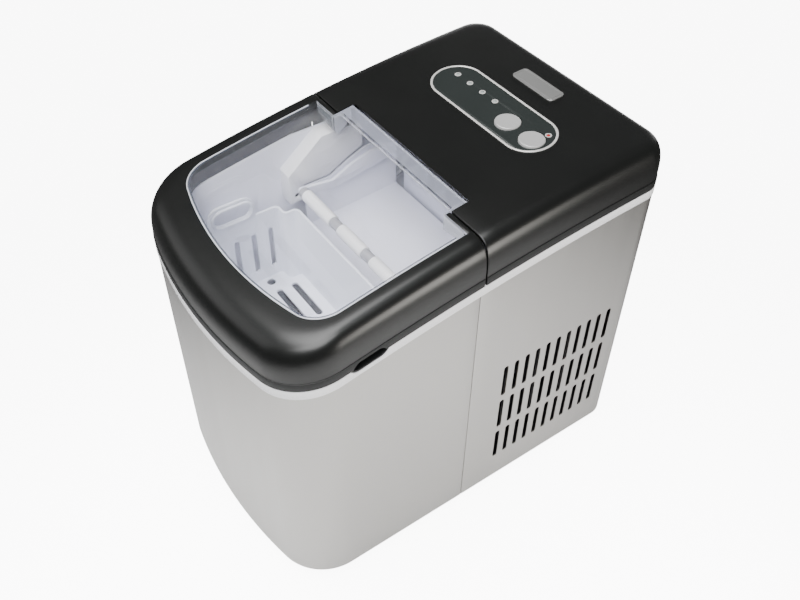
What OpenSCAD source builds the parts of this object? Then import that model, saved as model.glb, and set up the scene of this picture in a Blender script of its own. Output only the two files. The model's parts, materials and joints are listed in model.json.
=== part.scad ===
// Countertop ice maker: a bowed steel body with a black top, a hinged lid with a clear window,
// a lift-out ice basket, and the cooling and water parts inside.
// Millimetres. The origin is at the bottom centre, the front faces -Y and the right side +X.

/* [Body] */
// Overall width
body_w = 241; // [239:1:243]
// Overall depth
body_d = 358; // [356:1:360]
// Radius of the bowed front face
bow_r = 420; // [400:5:440]
// Radius of the front corners
front_corner_r = 46; // [44:1:48]
// Radius of the rear corners
rear_corner_r = 20; // [19:1:21]
// Height of the steel's lower edge
steel_z = 13; // [12.5:0.5:13.5]
// Thickness of the steel
steel_t = 1; // [0.8:0.1:1]
// Y of the upright seam between the two steel shells
steel_seam_y = -6; // [-8:1:-4]

/* [Trim and top] */
// Height of the white trim ring
trim_h = 8.2; // [7.8:0.1:8.6]
// Radius of the long arc that the trim follows from front to rear
trim_arc_r = 2016; // [1950:10:2100]
// Radius of the top surface from front to rear
crown_r = 1950; // [1930:10:1970]
// Squareness of the rounded shoulder: 2 is an ellipse, higher is squarer
shoulder_power = 3.4; // [3:0.2:3.6]
// Thickness of the black covers
cover_t = 2.5; // [2:0.1:2.5]
// Height of the covers' upright lower lip
lip_h = 7.4; // [7:0.2:7.8]
// Y of the seam between the lid and the rear cover
lid_seam_y = -2.5; // [-3:0.25:-2]

/* [Window] */
// Half width of the window
window_half_w = 100.6; // [100.2:0.1:101]
// Y of the window's bowed front edge at its middle
window_front_y = -148; // [-149:0.5:-147]
// Y of the window's two rear steps
window_step_y = -7; // [-8:0.5:-6.5]
// Half width of the window's rear tongue
tongue_half_w = 75; // [74.5:0.1:75]
// Y of the tongue's rear edge
tongue_rear_y = 12; // [11:0.5:12]
// Thickness of the clear sheet
window_t = 2.5; // [2:0.1:2.5]
// Depth of the frame's skirt round the window
skirt_h = 18; // [16:0.5:18]

/* [Control panel] */
// Half length of the panel
panel_half_l = 67.5; // [67:0.5:68.5]
// Half width of the panel
panel_half_w = 23; // [22.6:0.1:23.4]
// Y of the panel's centre line
panel_y = 96.2; // [95.8:0.2:96.6]
// Diameter of the two buttons
button_d = 21.4; // [21:0.2:21.6]
// How far a button travels
button_travel = 0.8; // [0.5:0.1:0.9]

/* [Side vents] */
// Slots in each row
vent_count = 11; // [9:1:11]
// Distance between slots
vent_pitch = 11.6; // [11.2:0.1:11.8]
// Width of a slot
vent_w = 4.8; // [4.2:0.1:5.2]
// Length of a slot
vent_l = 37; // [34:0.5:38]

/* [Basket] */
// Height of the basket's floor
basket_floor_z = 165; // [164:0.5:166]
// Height of the basket's rim
basket_rim_z = 240; // [238:0.5:241]
// Thickness of the basket's walls
basket_t = 2.2; // [2:0.1:2.4]

/* [Evaporator] */
// Diameter of the freezing fingers
finger_d = 9; // [8:0.5:9]
// Distance between the fingers
finger_pitch = 26; // [25:0.5:27]

/* [Hidden] */
$fn = 64;

black = "#16181a";
dark_grey = "#3a3d40";
white = "#eceef2";
tub_white = "#dcdde8";
steel = "#bdbab5";
copper = "#b5713c";

gap = 0.4;
sheet_gap = 0.1;
running_gap = 0.05;
min_corner_r = 2;
reach = 400;
body_half_w = body_w / 2;
body_half_d = body_d / 2;
trim_proud = 0.5;
inner_steel = trim_proud + steel_t;
trim_wall = 9.5;
trim_shelf = 13;
apex_y = 242;
trim_apex_z = 287.4;
crown_apex_z = 335.3;
window_corner_r = 26;
window_bow_r = 310;
plateau_rear_y = 166;
plateau_corner_r = 16;
crease = 0.8;
lid_rear_y = lid_seam_y - 0.75;
cover_front_y = lid_seam_y + 0.75;
line_stations = 24;

// Hinge of the lid
hinge_y = 5;
hinge_z = 315.7;
hinge_pin_r = 1.2;
hinge_cheek_x = [70, 74.6];
hinge_pin_end_x = 85;

// Tub
tub_half_w = 99;
tub_inset = body_half_w - tub_half_w;
tub_t = 2.5;
tub_floor_z = 92.5;
tub_deep_rear_y = 2;
tub_ledge_z = 177.5;
tub_rear_y = 131.5;
tub_top_z = 296;
tub_flange_z = [3.4, 5.9];

// Ice basket
basket_inset = 30.5;
basket_rear_y = -46;
basket_notch_x = 77;
basket_notch_y = -58;
ear_y = [-124, -80];
ear_z = 262;

// Chute, shovel and tray
chute_half_w = 84;
chute_t = 2;
chute_y = [-33, 62];
bar_y = -39;
bar_z = 254;
shovel_y = 48;
shovel_z = 262;
arm_x = [77, 80];
pivot_r = 2.5;
tray_half_w = 74;
tray_y = [64, 118];
tray_z = [212, 234];
tray_axis_y = 120;
tray_axis_z = 230;
shaft_r = 2;

// Fan, on an axis along X
fan_y = 91;
fan_z = 103;
fan_x = [64, 84];
fan_r = 52;

// Buttons and lights
button_x = [23.3, 52];
button_y = 93;
button_rise = 1.2;
lens_pitch = 16.2;
lens_x = [for (i = [0 : 3]) -52.4 + i * lens_pitch];
lens_y = 102.1;
lens_r = 1.5;
power_lens = [56, 106.2];
board_z = 312;
board_t = 1.6;

// Drain
drain_x = 18;
drain_z = 54;
tub_drain_z = tub_floor_z + 7;

// ---------- curves and outlines ----------

function arc_height(y, r, apex_z) = apex_z - r + sqrt(r * r - (y - apex_y) * (y - apex_y));
function trim_z(y) = arc_height(y, trim_arc_r, trim_apex_z);
function crown_z(y) = arc_height(y, crown_r, crown_apex_z);
function stations(count) = [for (i = [0 : count]) -body_half_d - 5 + i * (body_d + 10) / count];
function trim_line(rise) = [for (y = stations(line_stations)) [y, trim_z(y) + rise]];
function crown_line(rise) = [for (y = stations(line_stations)) [y, crown_z(y) + rise]];
function lerp(a, b, w) = a * (1 - w) + b * w;
function mirrored(points) = [for (i = [len(points) - 1 : -1 : 0]) [-points[i][0], points[i][1]]];
function without_last(list) = [for (i = [0 : len(list) - 2]) list[i]];

// Extrudes a YZ outline along X, from x0 to x1
module along_x(x0, x1) {
    rotate([90, 0, 90])
        translate([0, 0, x0])
            linear_extrude(x1 - x0)
                children();
}

// Everything below a line of [y, z] points
module below(line) {
    along_x(-reach, reach)
        polygon(concat([[line[0][0], -1]], line, [[line[len(line) - 1][0], -1]]));
}

// What lies between two lines of [y, z] points
module between(lower, upper) {
    along_x(-reach, reach)
        polygon(concat(lower, [for (i = [len(upper) - 1 : -1 : 0]) upper[i]]));
}

module block(low, high) {
    translate(low)
        cube(high - low);
}

// The same solid on the left and on the right
module both_sides() {
    children();
    mirror([1, 0, 0])
        children();
}

// An outline with a bowed front, two round front corners and a square rear
module bowed(half_w, corner_r, bow, front_y, rear_y) {
    centre_y = front_y + bow;
    corner_x = half_w - corner_r;
    corner_y = centre_y - sqrt((bow - corner_r) ^ 2 - corner_x ^ 2);
    spread = 1.5;
    far_y = centre_y + spread * (corner_y - centre_y);
    intersection() {
        translate([0, centre_y])
            circle(bow, $fn = 360);
        polygon([[0, centre_y], [-spread * corner_x, far_y], [spread * corner_x, far_y]]);
        translate([-half_w, front_y - 1])
            square([2 * half_w, rear_y - front_y + 1]);
    }
    for (x = [-corner_x, corner_x])
        translate([x, corner_y])
            circle(corner_r);
    translate([-half_w, corner_y])
        square([2 * half_w, rear_y - corner_y]);
}

// The body's plan, drawn in by an inset all round
module plan(inset) {
    half_w = body_half_w - inset;
    rear_r = max(rear_corner_r - inset, min_corner_r);
    rear_y = body_half_d - inset;
    bowed(half_w, front_corner_r - inset, bow_r - inset, -body_half_d + inset, rear_y - rear_r);
    translate([-half_w + rear_r, 0])
        square([2 * (half_w - rear_r), rear_y]);
    for (x = [-half_w + rear_r, half_w - rear_r])
        translate([x, rear_y - rear_r])
            circle(rear_r);
}

module plan_ring(outer_inset, inner_inset) {
    difference() {
        plan(outer_inset);
        plan(inner_inset);
    }
}

module stadium(half_l, half_w) {
    square([2 * (half_l - half_w), 2 * half_w], center = true);
    for (x = [-half_l + half_w, half_l - half_w])
        translate([x, 0])
            circle(half_w);
}

module rounded_square(size, r) {
    square([size[0] - 2 * r, size[1]], center = true);
    square([size[0], size[1] - 2 * r], center = true);
    for (x = [-1, 1], y = [-1, 1])
        translate([x * (size[0] / 2 - r), y * (size[1] / 2 - r)])
            circle(r);
}

// A rod along X
module rod_x(x0, x1, y, z, r) {
    translate([x0, y, z])
        rotate([0, 90, 0])
            cylinder(r = r, h = x1 - x0);
}

// A rod along Y
module rod_y(x, y0, y1, z, r) {
    translate([x, y1, z])
        rotate([90, 0, 0])
            cylinder(r = r, h = y1 - y0);
}

// ---------- lofted sheets ----------

function quad(a, b, c, d) = [[a, b, c], [a, c, d]];

// A closed solid between two equal grids of points. With zip, the last row is closed on itself.
module sheet(outer, inner, zip = false) {
    rows = len(outer);
    cols = len(outer[0]);
    last = rows - 1;
    end = cols - 1;
    o = function(i, j) i * cols + j;
    n = function(i, j) (rows + i) * cols + j;
    skins = [
        for (i = [0 : last - 1], j = [0 : end - 1]) each concat(
            quad(o(i, j), o(i, j + 1), o(i + 1, j + 1), o(i + 1, j)),
            quad(n(i, j), n(i + 1, j), n(i + 1, j + 1), n(i, j + 1))
        )
    ];
    edges = [
        for (i = [0 : last - 1]) each concat(
            quad(o(i, 0), o(i + 1, 0), n(i + 1, 0), n(i, 0)),
            quad(o(i + 1, end), o(i, end), n(i, end), n(i + 1, end))
        )
    ];
    front = [for (j = [0 : end - 1]) each quad(o(0, j + 1), o(0, j), n(0, j), n(0, j + 1))];
    rear_open = [
        for (j = [0 : end - 1]) each quad(o(last, j), o(last, j + 1), n(last, j + 1), n(last, j))
    ];
    rear_zip = [
        for (j = [0 : cols / 2 - 2]) each concat(
            quad(o(last, j), o(last, j + 1), o(last, end - 1 - j), o(last, end - j)),
            quad(n(last, j), n(last, end - j), n(last, end - 1 - j), n(last, j + 1))
        )
    ];
    zip_edge = quad(o(last, 0), o(last, end), n(last, end), n(last, 0));
    polyhedron(
        points = concat([for (row = outer) each row], [for (row = inner) each row]),
        faces = concat(skins, edges, front, zip ? concat(rear_zip, zip_edge) : rear_open)
    );
}

// A round tube along a list of points
tube_sides = 8;
function unit(v) = v / norm(v);
function heading(path, i) = unit(
    (i < len(path) - 1 ? unit(path[i + 1] - path[i]) : [0, 0, 0])
    + (i > 0 ? unit(path[i] - path[i - 1]) : [0, 0, 0])
);
function square_to(v, t) = unit(v - (v * t) * t);
function first_side(t) = square_to(abs(t[2]) < 0.9 ? [0, 0, 1] : [1, 0, 0], t);
function sides(path, i, before) = i == len(path) ? [] :
    let (side = square_to(before, heading(path, i)))
    concat([side], sides(path, i + 1, side));
module tube(path, r) {
    side = sides(path, 0, first_side(heading(path, 0)));
    count = len(path);
    points = [
        for (i = [0 : count - 1], k = [0 : tube_sides - 1])
            let (t = heading(path, i), a = 360 * k / tube_sides, across = cross(t, side[i]))
            path[i] + r * (cos(a) * side[i] + sin(a) * across)
    ];
    walls = [
        for (i = [0 : count - 2], k = [0 : tube_sides - 1])
            let (next = (k + 1) % tube_sides, a = i * tube_sides, b = a + tube_sides)
            each quad(a + k, b + k, b + next, a + next)
    ];
    start_cap = [for (k = [0 : tube_sides - 1]) k];
    end_cap = [for (k = [tube_sides - 1 : -1 : 0]) (count - 1) * tube_sides + k];
    polyhedron(points = points, faces = concat(walls, [start_cap, end_cap]));
}

// ---------- base and steel ----------

module base_pan() {
    foot_ring = 9;
    flange_inset = 2.5;
    rim_top_z = 28;
    color(dark_grey) {
        translate([0, 0, steel_z - 7])
            linear_extrude(5)
                plan(foot_ring);
        translate([0, 0, steel_z - 2])
            linear_extrude(2)
                plan(flange_inset);
        translate([0, 0, steel_z])
            linear_extrude(rim_top_z - steel_z)
                plan_ring(inner_steel + sheet_gap, inner_steel + 2);
    }
}

foot_at = [[-82, -122], [82, -122], [-88, 142], [88, 142]];
module feet() {
    foot_r = 9;
    foot_h = 6;
    color("#222426")
        for (p = foot_at)
            translate([p[0], p[1], 0])
                cylinder(r = foot_r, h = foot_h);
}

module base_screws() {
    head_r = 3;
    head_h = 0.8;
    toward_centre = 0.78;
    color(steel)
        for (p = foot_at)
            translate([p[0] * toward_centre, p[1] * toward_centre, steel_z - 7 - head_h])
                cylinder(r = head_r, h = head_h);
}

// The steel wall all round, up to the trim
module steel_wall() {
    intersection() {
        translate([0, 0, steel_z])
            linear_extrude(reach)
                plan_ring(trim_proud, inner_steel);
        below(trim_line(-sheet_gap));
    }
}

module front_shell() {
    color(steel)
        intersection() {
            steel_wall();
            block([-reach, -reach, 0], [reach, steel_seam_y - 0.2, reach]);
        }
}

vent_first_y = 30.5;
vent_top_z = [170, 126, 82];
module vent_slots() {
    along_x(-reach, reach)
        for (row = vent_top_z, i = [0 : vent_count - 1])
            translate([vent_first_y + i * vent_pitch, row - vent_l / 2]) {
                square([vent_w, vent_l - vent_w], center = true);
                for (end = [-1, 1])
                    translate([0, end * (vent_l - vent_w) / 2])
                        circle(vent_w / 2);
            }
}

back_opening_x = 80;
back_opening_z = [34, 228];
module rear_shell() {
    color(steel)
        difference() {
            intersection() {
                steel_wall();
                block([-reach, steel_seam_y + 0.2, 0], [reach, reach, reach]);
            }
            vent_slots();
            block([-back_opening_x, body_half_d - 20, back_opening_z[0]],
                [back_opening_x, body_half_d + 1, back_opening_z[1]]);
        }
}

gland_x = 58;
gland_z = 58;
gland_hole_r = 8;
drain_hole_r = 13.5;
screw_at = [[-84, 31.2], [84, 31.2], [-84, 233], [84, 233]];
module back_panel() {
    plate_x = 88;
    plate_z = [28.3, 238];
    plate_y = body_half_d - inner_steel - sheet_gap;
    plate_t = 2.4;
    louvre_z = [for (i = [0 : 7]) 100 + i * 12];
    louvre_h = 5;
    louvre_x = 62;
    color(black)
        difference() {
            union() {
                block([-plate_x, plate_y - plate_t, plate_z[0]], [plate_x, plate_y, plate_z[1]]);
                block([-back_opening_x + 0.3, plate_y - 1, back_opening_z[0] + 0.3],
                    [back_opening_x - 0.3, body_half_d - 0.2, back_opening_z[1] - 0.3]);
            }
            for (z = louvre_z)
                block([-louvre_x, plate_y - 10, z], [louvre_x, reach, z + louvre_h]);
            rod_y(gland_x, plate_y - 10, body_half_d + 1, gland_z, gland_hole_r);
            rod_y(drain_x, plate_y - 10, body_half_d + 1, drain_z, drain_hole_r);
        }
}

module back_panel_screws() {
    head_r = 2.4;
    head_y = body_half_d - trim_proud;
    color(steel)
        for (p = screw_at)
            rod_y(p[0], head_y, head_y + 0.45, p[1], head_r);
}

gland_bore_r = 3.8;
module cord_gland() {
    flange_r = 11;
    flange_y = body_half_d - 0.2;
    body_l = 12;
    color("#1c1c1e")
        difference() {
            union() {
                rod_y(gland_x, flange_y - body_l, flange_y, gland_z, gland_hole_r);
                rod_y(gland_x, flange_y, flange_y + 0.2, gland_z, flange_r);
                rod_y(gland_x, flange_y - body_l, flange_y - 5, gland_z, flange_r - 1);
            }
            rod_y(gland_x, flange_y - body_l - 1, flange_y + 2, gland_z, gland_bore_r);
        }
}

// ---------- trim and covers ----------

notch_y = [-119, -87];
notch_slope = 4;
notch_down = 4;
notch_depth = 7;
// Outline of the finger pull at the lid's right edge, drawn in by inset and rising by rise above the trim
module pull_outline(inset, rise, taper) {
    top = function(y) trim_z(y) + trim_h;
    y = notch_y + [inset, -inset];
    low_y = y + [notch_slope, -notch_slope];
    high_y = y + [taper, -taper];
    polygon([
        [y[0], top(y[0])],
        [low_y[0], top(low_y[0]) - notch_down + inset],
        [low_y[1], top(low_y[1]) - notch_down + inset],
        [y[1], top(y[1])],
        [y[1], top(y[1]) + gap],
        [high_y[1], top(high_y[1]) + rise],
        [high_y[0], top(high_y[0]) + rise],
        [y[0], top(y[0]) + gap],
    ]);
}

// The gap in the trim that the finger pull hangs in
module pull_gap() {
    along_x(body_half_w - notch_depth, body_half_w + 1)
        pull_outline(0, lip_h, 0);
}

module trim_ring() {
    shelf_h = 3.2;
    color(white)
        difference() {
            union() {
                intersection() {
                    linear_extrude(reach)
                        plan_ring(0, trim_wall);
                    between(trim_line(0), trim_line(trim_h));
                }
                intersection() {
                    linear_extrude(reach)
                        plan_ring(trim_wall - 1, trim_shelf);
                    between(trim_line(0), trim_line(shelf_h));
                }
            }
            pull_gap();
        }
}

// Points of a bowed outline, from its rear left end round the front to its rear right end
side_steps = 7;
corner_steps = 9;
bow_steps = 5;
function bowed_points(half_w, corner_r, bow, front_y, rear_y) =
    let (
        centre_y = front_y + bow,
        corner_x = half_w - corner_r,
        corner_y = centre_y - sqrt((bow - corner_r) ^ 2 - corner_x ^ 2),
        turn = asin(corner_x / (bow - corner_r)),
        side = [for (i = [0 : side_steps - 1]) [-half_w, lerp(rear_y, corner_y, i / side_steps)]],
        corner = [
            for (i = [0 : corner_steps])
                let (a = i / corner_steps * (90 - turn))
                [-corner_x - corner_r * cos(a), corner_y - corner_r * sin(a)]
        ],
        front = [
            for (i = [1 : bow_steps])
                let (a = turn * (1 - i / bow_steps))
                [-bow * sin(a), centre_y - bow * cos(a)]
        ],
        left = concat(side, corner, front)
    )
    concat(left, mirrored(without_last(left)));

function body_points(inset) = bowed_points(
    body_half_w - inset, front_corner_r - inset, bow_r - inset, -body_half_d + inset, lid_rear_y
);
function window_points(outset) = bowed_points(
    window_half_w + outset, window_corner_r + outset, window_bow_r + outset,
    window_front_y - outset, lid_rear_y
);

// Shoulder profile: [how far in, how far up] along a quarter of a squared ellipse
shoulder_steps = 10;
shoulder = [
    for (i = [0 : shoulder_steps])
        let (a = 90 * i / shoulder_steps)
        [1 - cos(a) ^ (2 / shoulder_power), sin(a) ^ (2 / shoulder_power)]
];
function lip_z(y) = trim_z(y) + trim_h + gap;
function at_height(p, z) = [p[0], p[1], z];
function shoulder_point(foot, edge, step, drop) =
    let (p = lerp(foot, edge, step[0]), low = lip_z(p[1]) + lip_h - drop / 4)
    at_height(p, low + (crown_z(p[1]) - drop - low) * step[1]);
function lid_row(lip, foot, edge, drop) = concat(
    [at_height(lip, lip_z(lip[1])), at_height(lip, lip_z(lip[1]) + lip_h - drop)],
    [for (step = shoulder) shoulder_point(foot, edge, step, drop)],
    [at_height(edge, crown_z(edge[1]) - skirt_h)]
);

pull_space = 0.6;
pull_wall = 1.3;
// The solid that the finger pull is cut from, behind and below the lid's lip
module pull_body() {
    along_x(body_half_w - notch_depth + pull_space, body_half_w - 0.3)
        pull_outline(pull_space, lip_h - 0.8, 0);
}

// Space for a fingertip, open to the right
module pull_pocket() {
    along_x(body_half_w - notch_depth + pull_space + pull_wall, body_half_w + 1)
        pull_outline(pull_space + pull_wall, lip_h - 2.2, notch_slope);
}

module lid_frame() {
    lip_out = body_points(0);
    foot_out = body_points(crease);
    edge_out = window_points(0);
    lip_in = body_points(cover_t);
    edge_in = window_points(cover_t);
    count = len(lip_out);
    color(black)
        difference() {
            union() {
                sheet(
                    [for (i = [0 : count - 1]) lid_row(lip_out[i], foot_out[i], edge_out[i], 0)],
                    [for (i = [0 : count - 1]) lid_row(lip_in[i], lip_in[i], edge_in[i], cover_t)]
                );
                both_sides()
                    intersection() {
                        block([tongue_half_w + gap, window_step_y, hinge_z - 6],
                            [window_half_w + 1, lid_rear_y, reach]);
                        below(crown_line(0));
                    }
                pull_body();
            }
            pull_pocket();
        }
}

window_bite = 0.3;
module lid_window() {
    cheek_y = [hinge_y - 2.6, hinge_y + 2.6];
    cheek_low_z = hinge_z - 2.8;
    color("#c8cbe4", 0.35)
        difference() {
            union() {
                intersection() {
                    linear_extrude(reach) {
                        bowed(window_half_w + window_bite, window_corner_r + window_bite,
                            window_bow_r, window_front_y - window_bite, window_step_y - sheet_gap);
                        translate([-tongue_half_w, window_step_y - 1])
                            square([2 * tongue_half_w, tongue_rear_y - window_step_y + 1]);
                    }
                    between(crown_line(-window_t), crown_line(0));
                }
                both_sides()
                    block([hinge_cheek_x[0], cheek_y[0], cheek_low_z],
                        [hinge_cheek_x[1], cheek_y[1], crown_z(cheek_y[0]) - window_t + 0.5]);
            }
            rod_x(-reach, reach, hinge_y, hinge_z, hinge_pin_r);
        }
}

module hinge_pin() {
    color(steel)
        rod_x(hinge_cheek_x[0], hinge_pin_end_x, hinge_y, hinge_z, hinge_pin_r);
}

module hinge_pin_right() {
    hinge_pin();
}

module hinge_pin_left() {
    mirror([1, 0, 0])
        hinge_pin();
}

module hinge_bracket() {
    arm = [75.6, 98.5];
    post_x = 84.5;
    y = [-0.5, 10];
    color(dark_grey)
        difference() {
            union() {
                block([arm[0], y[0], hinge_z - 6], [arm[1], y[1], hinge_z + 1.6]);
                block([post_x, y[0], tub_top_z + sheet_gap], [arm[1], y[1], hinge_z]);
            }
            rod_x(arm[0] - 1, hinge_pin_end_x + 1.5, hinge_y, hinge_z, hinge_pin_r + running_gap);
        }
}

module hinge_bracket_right() {
    hinge_bracket();
}

module hinge_bracket_left() {
    mirror([1, 0, 0])
        hinge_bracket();
}

// Stations of the rear cover, from its front end to the rear corner, on the right side
cover_side_steps = 9;
cover_corner_steps = 9;
function cover_points(half_w, corner_r, rear_y) = concat(
    [
        for (i = [0 : cover_side_steps - 1])
            [half_w, lerp(cover_front_y, rear_y - corner_r, i / cover_side_steps)]
    ],
    [
        for (i = [0 : cover_corner_steps])
            let (a = 90 * i / cover_corner_steps)
            [half_w - corner_r + corner_r * cos(a), rear_y - corner_r + corner_r * sin(a)]
    ]
);
function cover_half_row(lip, foot, edge, drop) = concat(
    [at_height(lip, lip_z(lip[1])), at_height(lip, lip_z(lip[1]) + lip_h - drop)],
    [for (step = shoulder) shoulder_point(foot, edge, step, drop)]
);
function cover_row(lip, foot, edge, drop) =
    let (half = cover_half_row(lip, foot, edge, drop))
    concat(half, [for (i = [len(half) - 1 : -1 : 0]) [-half[i][0], half[i][1], half[i][2]]]);

panel_hole = 1.6;
module rear_cover() {
    lip_out = cover_points(body_half_w, rear_corner_r, body_half_d);
    foot_out = cover_points(body_half_w - crease, rear_corner_r - crease, body_half_d - crease);
    lip_in = cover_points(body_half_w - cover_t, rear_corner_r - cover_t, body_half_d - cover_t);
    edge = cover_points(window_half_w, plateau_corner_r, plateau_rear_y);
    count = len(edge);
    notch_half_w = tongue_half_w + 0.6;
    notch_rear_y = tongue_rear_y + 2.4;
    color(black)
        difference() {
            sheet(
                [for (i = [0 : count - 1]) cover_row(lip_out[i], foot_out[i], edge[i], 0)],
                [for (i = [0 : count - 1]) cover_row(lip_in[i], lip_in[i], edge[i], cover_t)],
                zip = true
            );
            block([-notch_half_w, cover_front_y - 1, hinge_z - 10], [notch_half_w, notch_rear_y, reach]);
            translate([0, panel_y, board_z])
                linear_extrude(reach)
                    stadium(panel_half_l - panel_hole, panel_half_w - panel_hole);
        }
}

// ---------- control panel ----------

module on_crown(low, high) {
    intersection() {
        linear_extrude(reach)
            children();
        between(crown_line(low), crown_line(high));
    }
}

module panel_bezel() {
    ring_w = 2;
    proud = 0.7;
    color("#d8d8d6")
        on_crown(0.05, proud)
            translate([0, panel_y])
                difference() {
                    stadium(panel_half_l, panel_half_w);
                    stadium(panel_half_l - ring_w, panel_half_w - ring_w);
                }
}

module panel_overlay() {
    inset = 2.1;
    depth = 2;
    proud = 0.35;
    color("#303837")
        on_crown(-depth, proud)
            difference() {
                translate([0, panel_y])
                    stadium(panel_half_l - inset, panel_half_w - inset);
                for (x = button_x)
                    translate([x, button_y])
                        circle(button_d / 2 + gap);
                for (x = lens_x)
                    translate([x, lens_y])
                        circle(lens_r);
                translate(power_lens)
                    circle(lens_r);
            }
}

module badge_plate() {
    at = [0, 144];
    size = [49, 16.2];
    corner = 4;
    rise = 1;
    color("#c9c9c8")
        on_crown(0.05, rise)
            translate(at)
                rounded_square(size, corner);
}

module button(x) {
    top_z = crown_z(button_y) + button_rise;
    skirt = 5;
    stem_r = 3;
    stem_low_z = board_z + board_t + 4.2;
    translate([x, button_y, 0]) {
        translate([0, 0, top_z - skirt])
            cylinder(r = button_d / 2, h = skirt);
        translate([0, 0, stem_low_z + button_travel])
            cylinder(r = stem_r, h = top_z - skirt - stem_low_z - button_travel + 0.5);
    }
}

module select_button() {
    color("#dcdcdb")
        button(button_x[0]);
}

module power_button() {
    color("#dcdcdb")
        button(button_x[1]);
}

module lens(x, y) {
    length = 8;
    translate([x, y, crown_z(y) + 0.45 - length])
        cylinder(r = lens_r, h = length);
}

module indicator_lenses() {
    color("#b9c2c0")
        for (x = lens_x)
            lens(x, lens_y);
}

module power_indicator() {
    color("#c03a34")
        lens(power_lens[0], power_lens[1]);
}

module control_board() {
    half_l = 62;
    board_y = [78, 114];
    color("#2c5a3a")
        block([-half_l, board_y[0], board_z], [half_l, board_y[1], board_z + board_t]);
}

module tact_switches() {
    half = 3;
    color("#202020")
        for (x = button_x)
            block([x - half, button_y - half, board_z + board_t],
                [x + half, button_y + half, board_z + board_t + 4]);
}

// ---------- tub, foam and basket ----------

// The tub's space, grown by t: a deep part in front and a shallow part behind it
module tub_space(t, floor_z, ledge_z) {
    intersection() {
        linear_extrude(reach)
            plan(tub_inset - t);
        union() {
            block([-reach, -reach, floor_z], [reach, tub_deep_rear_y + t, reach]);
            block([-reach, -reach, ledge_z], [reach, tub_rear_y + t, reach]);
        }
    }
}

drain_bore_r = 4;
module inner_tub() {
    rail_x = [88, tub_half_w + 0.5];
    rail_y = [-138, -62];
    rail_z = [155, basket_floor_z - basket_t - 0.2];
    color(tub_white)
        difference() {
            union() {
                intersection() {
                    tub_space(tub_t, tub_floor_z - tub_t, tub_ledge_z - tub_t);
                    below(crown_line(-skirt_h - 1.5));
                    block([-reach, -reach, 0], [reach, reach, tub_top_z]);
                }
                intersection() {
                    linear_extrude(reach)
                        plan(trim_wall + gap);
                    between(trim_line(tub_flange_z[0]), trim_line(tub_flange_z[1]));
                    block([-reach, -reach, 0], [reach, tub_rear_y + tub_t, reach]);
                }
            }
            difference() {
                tub_space(0, tub_floor_z, tub_ledge_z);
                both_sides()
                    block([rail_x[0], rail_y[0], rail_z[0]], [rail_x[1], rail_y[1], rail_z[1]]);
            }
            rod_y(drain_x, tub_deep_rear_y - 1, tub_deep_rear_y + 10, tub_drain_z, drain_bore_r);
        }
}

module insulation_foam() {
    foam_top_z = 226;
    foam_rear_y = tub_deep_rear_y + tub_t + 14;
    foam_t = 13;
    color("#e8dfb8")
        difference() {
            intersection() {
                linear_extrude(reach)
                    plan(inner_steel + 1);
                block([-reach, -reach, tub_floor_z - tub_t - foam_t], [reach, foam_rear_y, foam_top_z]);
            }
            intersection() {
                linear_extrude(reach)
                    plan(tub_inset - tub_t - sheet_gap);
                union() {
                    block([-reach, -reach, tub_floor_z - tub_t - sheet_gap],
                        [reach, tub_deep_rear_y + tub_t + sheet_gap, reach]);
                    block([-reach, -reach, tub_ledge_z - tub_t - sheet_gap], [reach, reach, reach]);
                }
            }
            rod_y(drain_x, tub_deep_rear_y, reach, tub_drain_z, drain_bore_r + 3);
        }
}

basket_corner_r = 21.5;
basket_bow_r = 320;
// The basket's outline, with its two rear corners cut away
module basket_outline(t) {
    half_w = body_half_w - basket_inset - t;
    difference() {
        bowed(half_w, basket_corner_r - t, basket_bow_r - t,
            -body_half_d + basket_inset + t, basket_rear_y - t);
        both_sides()
            translate([basket_notch_x - t, basket_notch_y - t])
                square(reach);
    }
}

wall_slot_y = [-101, -84.5, -68];
wall_slot_z = [176, 220];
wall_slot_w = 5;
floor_slot_y = [for (i = [0 : 4]) -61 - i * 15.5];
module basket_slots() {
    slot_x = [45, 0, -45];
    slot_half_l = 23.5;
    centre_half_l = 15;
    slot_half_w = 3.2;
    finger_hole_r = 4;
    along_x(-reach, reach)
        for (y = wall_slot_y)
            translate([y, (wall_slot_z[0] + wall_slot_z[1]) / 2])
                rotate(90)
                    stadium((wall_slot_z[1] - wall_slot_z[0]) / 2, wall_slot_w / 2);
    translate([0, 0, basket_floor_z - 10])
        linear_extrude(20) {
            for (y = floor_slot_y, x = slot_x)
                translate([x, y])
                    stadium(x == 0 ? centre_half_l : slot_half_l, slot_half_w);
            for (x = [-81, 81], y = [floor_slot_y[1], floor_slot_y[3]])
                translate([x, y])
                    circle(finger_hole_r);
        }
}

module basket_handle(half_l, half_w) {
    along_x(-reach, reach)
        translate([(ear_y[0] + ear_y[1]) / 2 + 1, ear_z - 12.5])
            stadium(half_l, half_w);
}

module ice_basket() {
    ear_r = 12;
    ear_mid = (ear_y[0] + ear_y[1]) / 2;
    color(tub_white)
        difference() {
            translate([0, 0, basket_floor_z - basket_t])
                linear_extrude(ear_z - basket_floor_z + basket_t)
                    basket_outline(0);
            translate([0, 0, basket_floor_z])
                linear_extrude(reach)
                    basket_outline(basket_t);
            difference() {
                block([-reach, -reach, basket_rim_z], [reach, reach, reach]);
                along_x(-reach, reach) {
                    translate([ear_mid, ear_z - ear_r])
                        stadium((ear_y[1] - ear_y[0]) / 2, ear_r);
                    translate([ear_y[0], basket_rim_z - 1])
                        square([ear_y[1] - ear_y[0], ear_r - 1]);
                }
            }
            basket_handle(17, 7);
            basket_slots();
        }
}

// ---------- inside the chamber ----------

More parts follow.
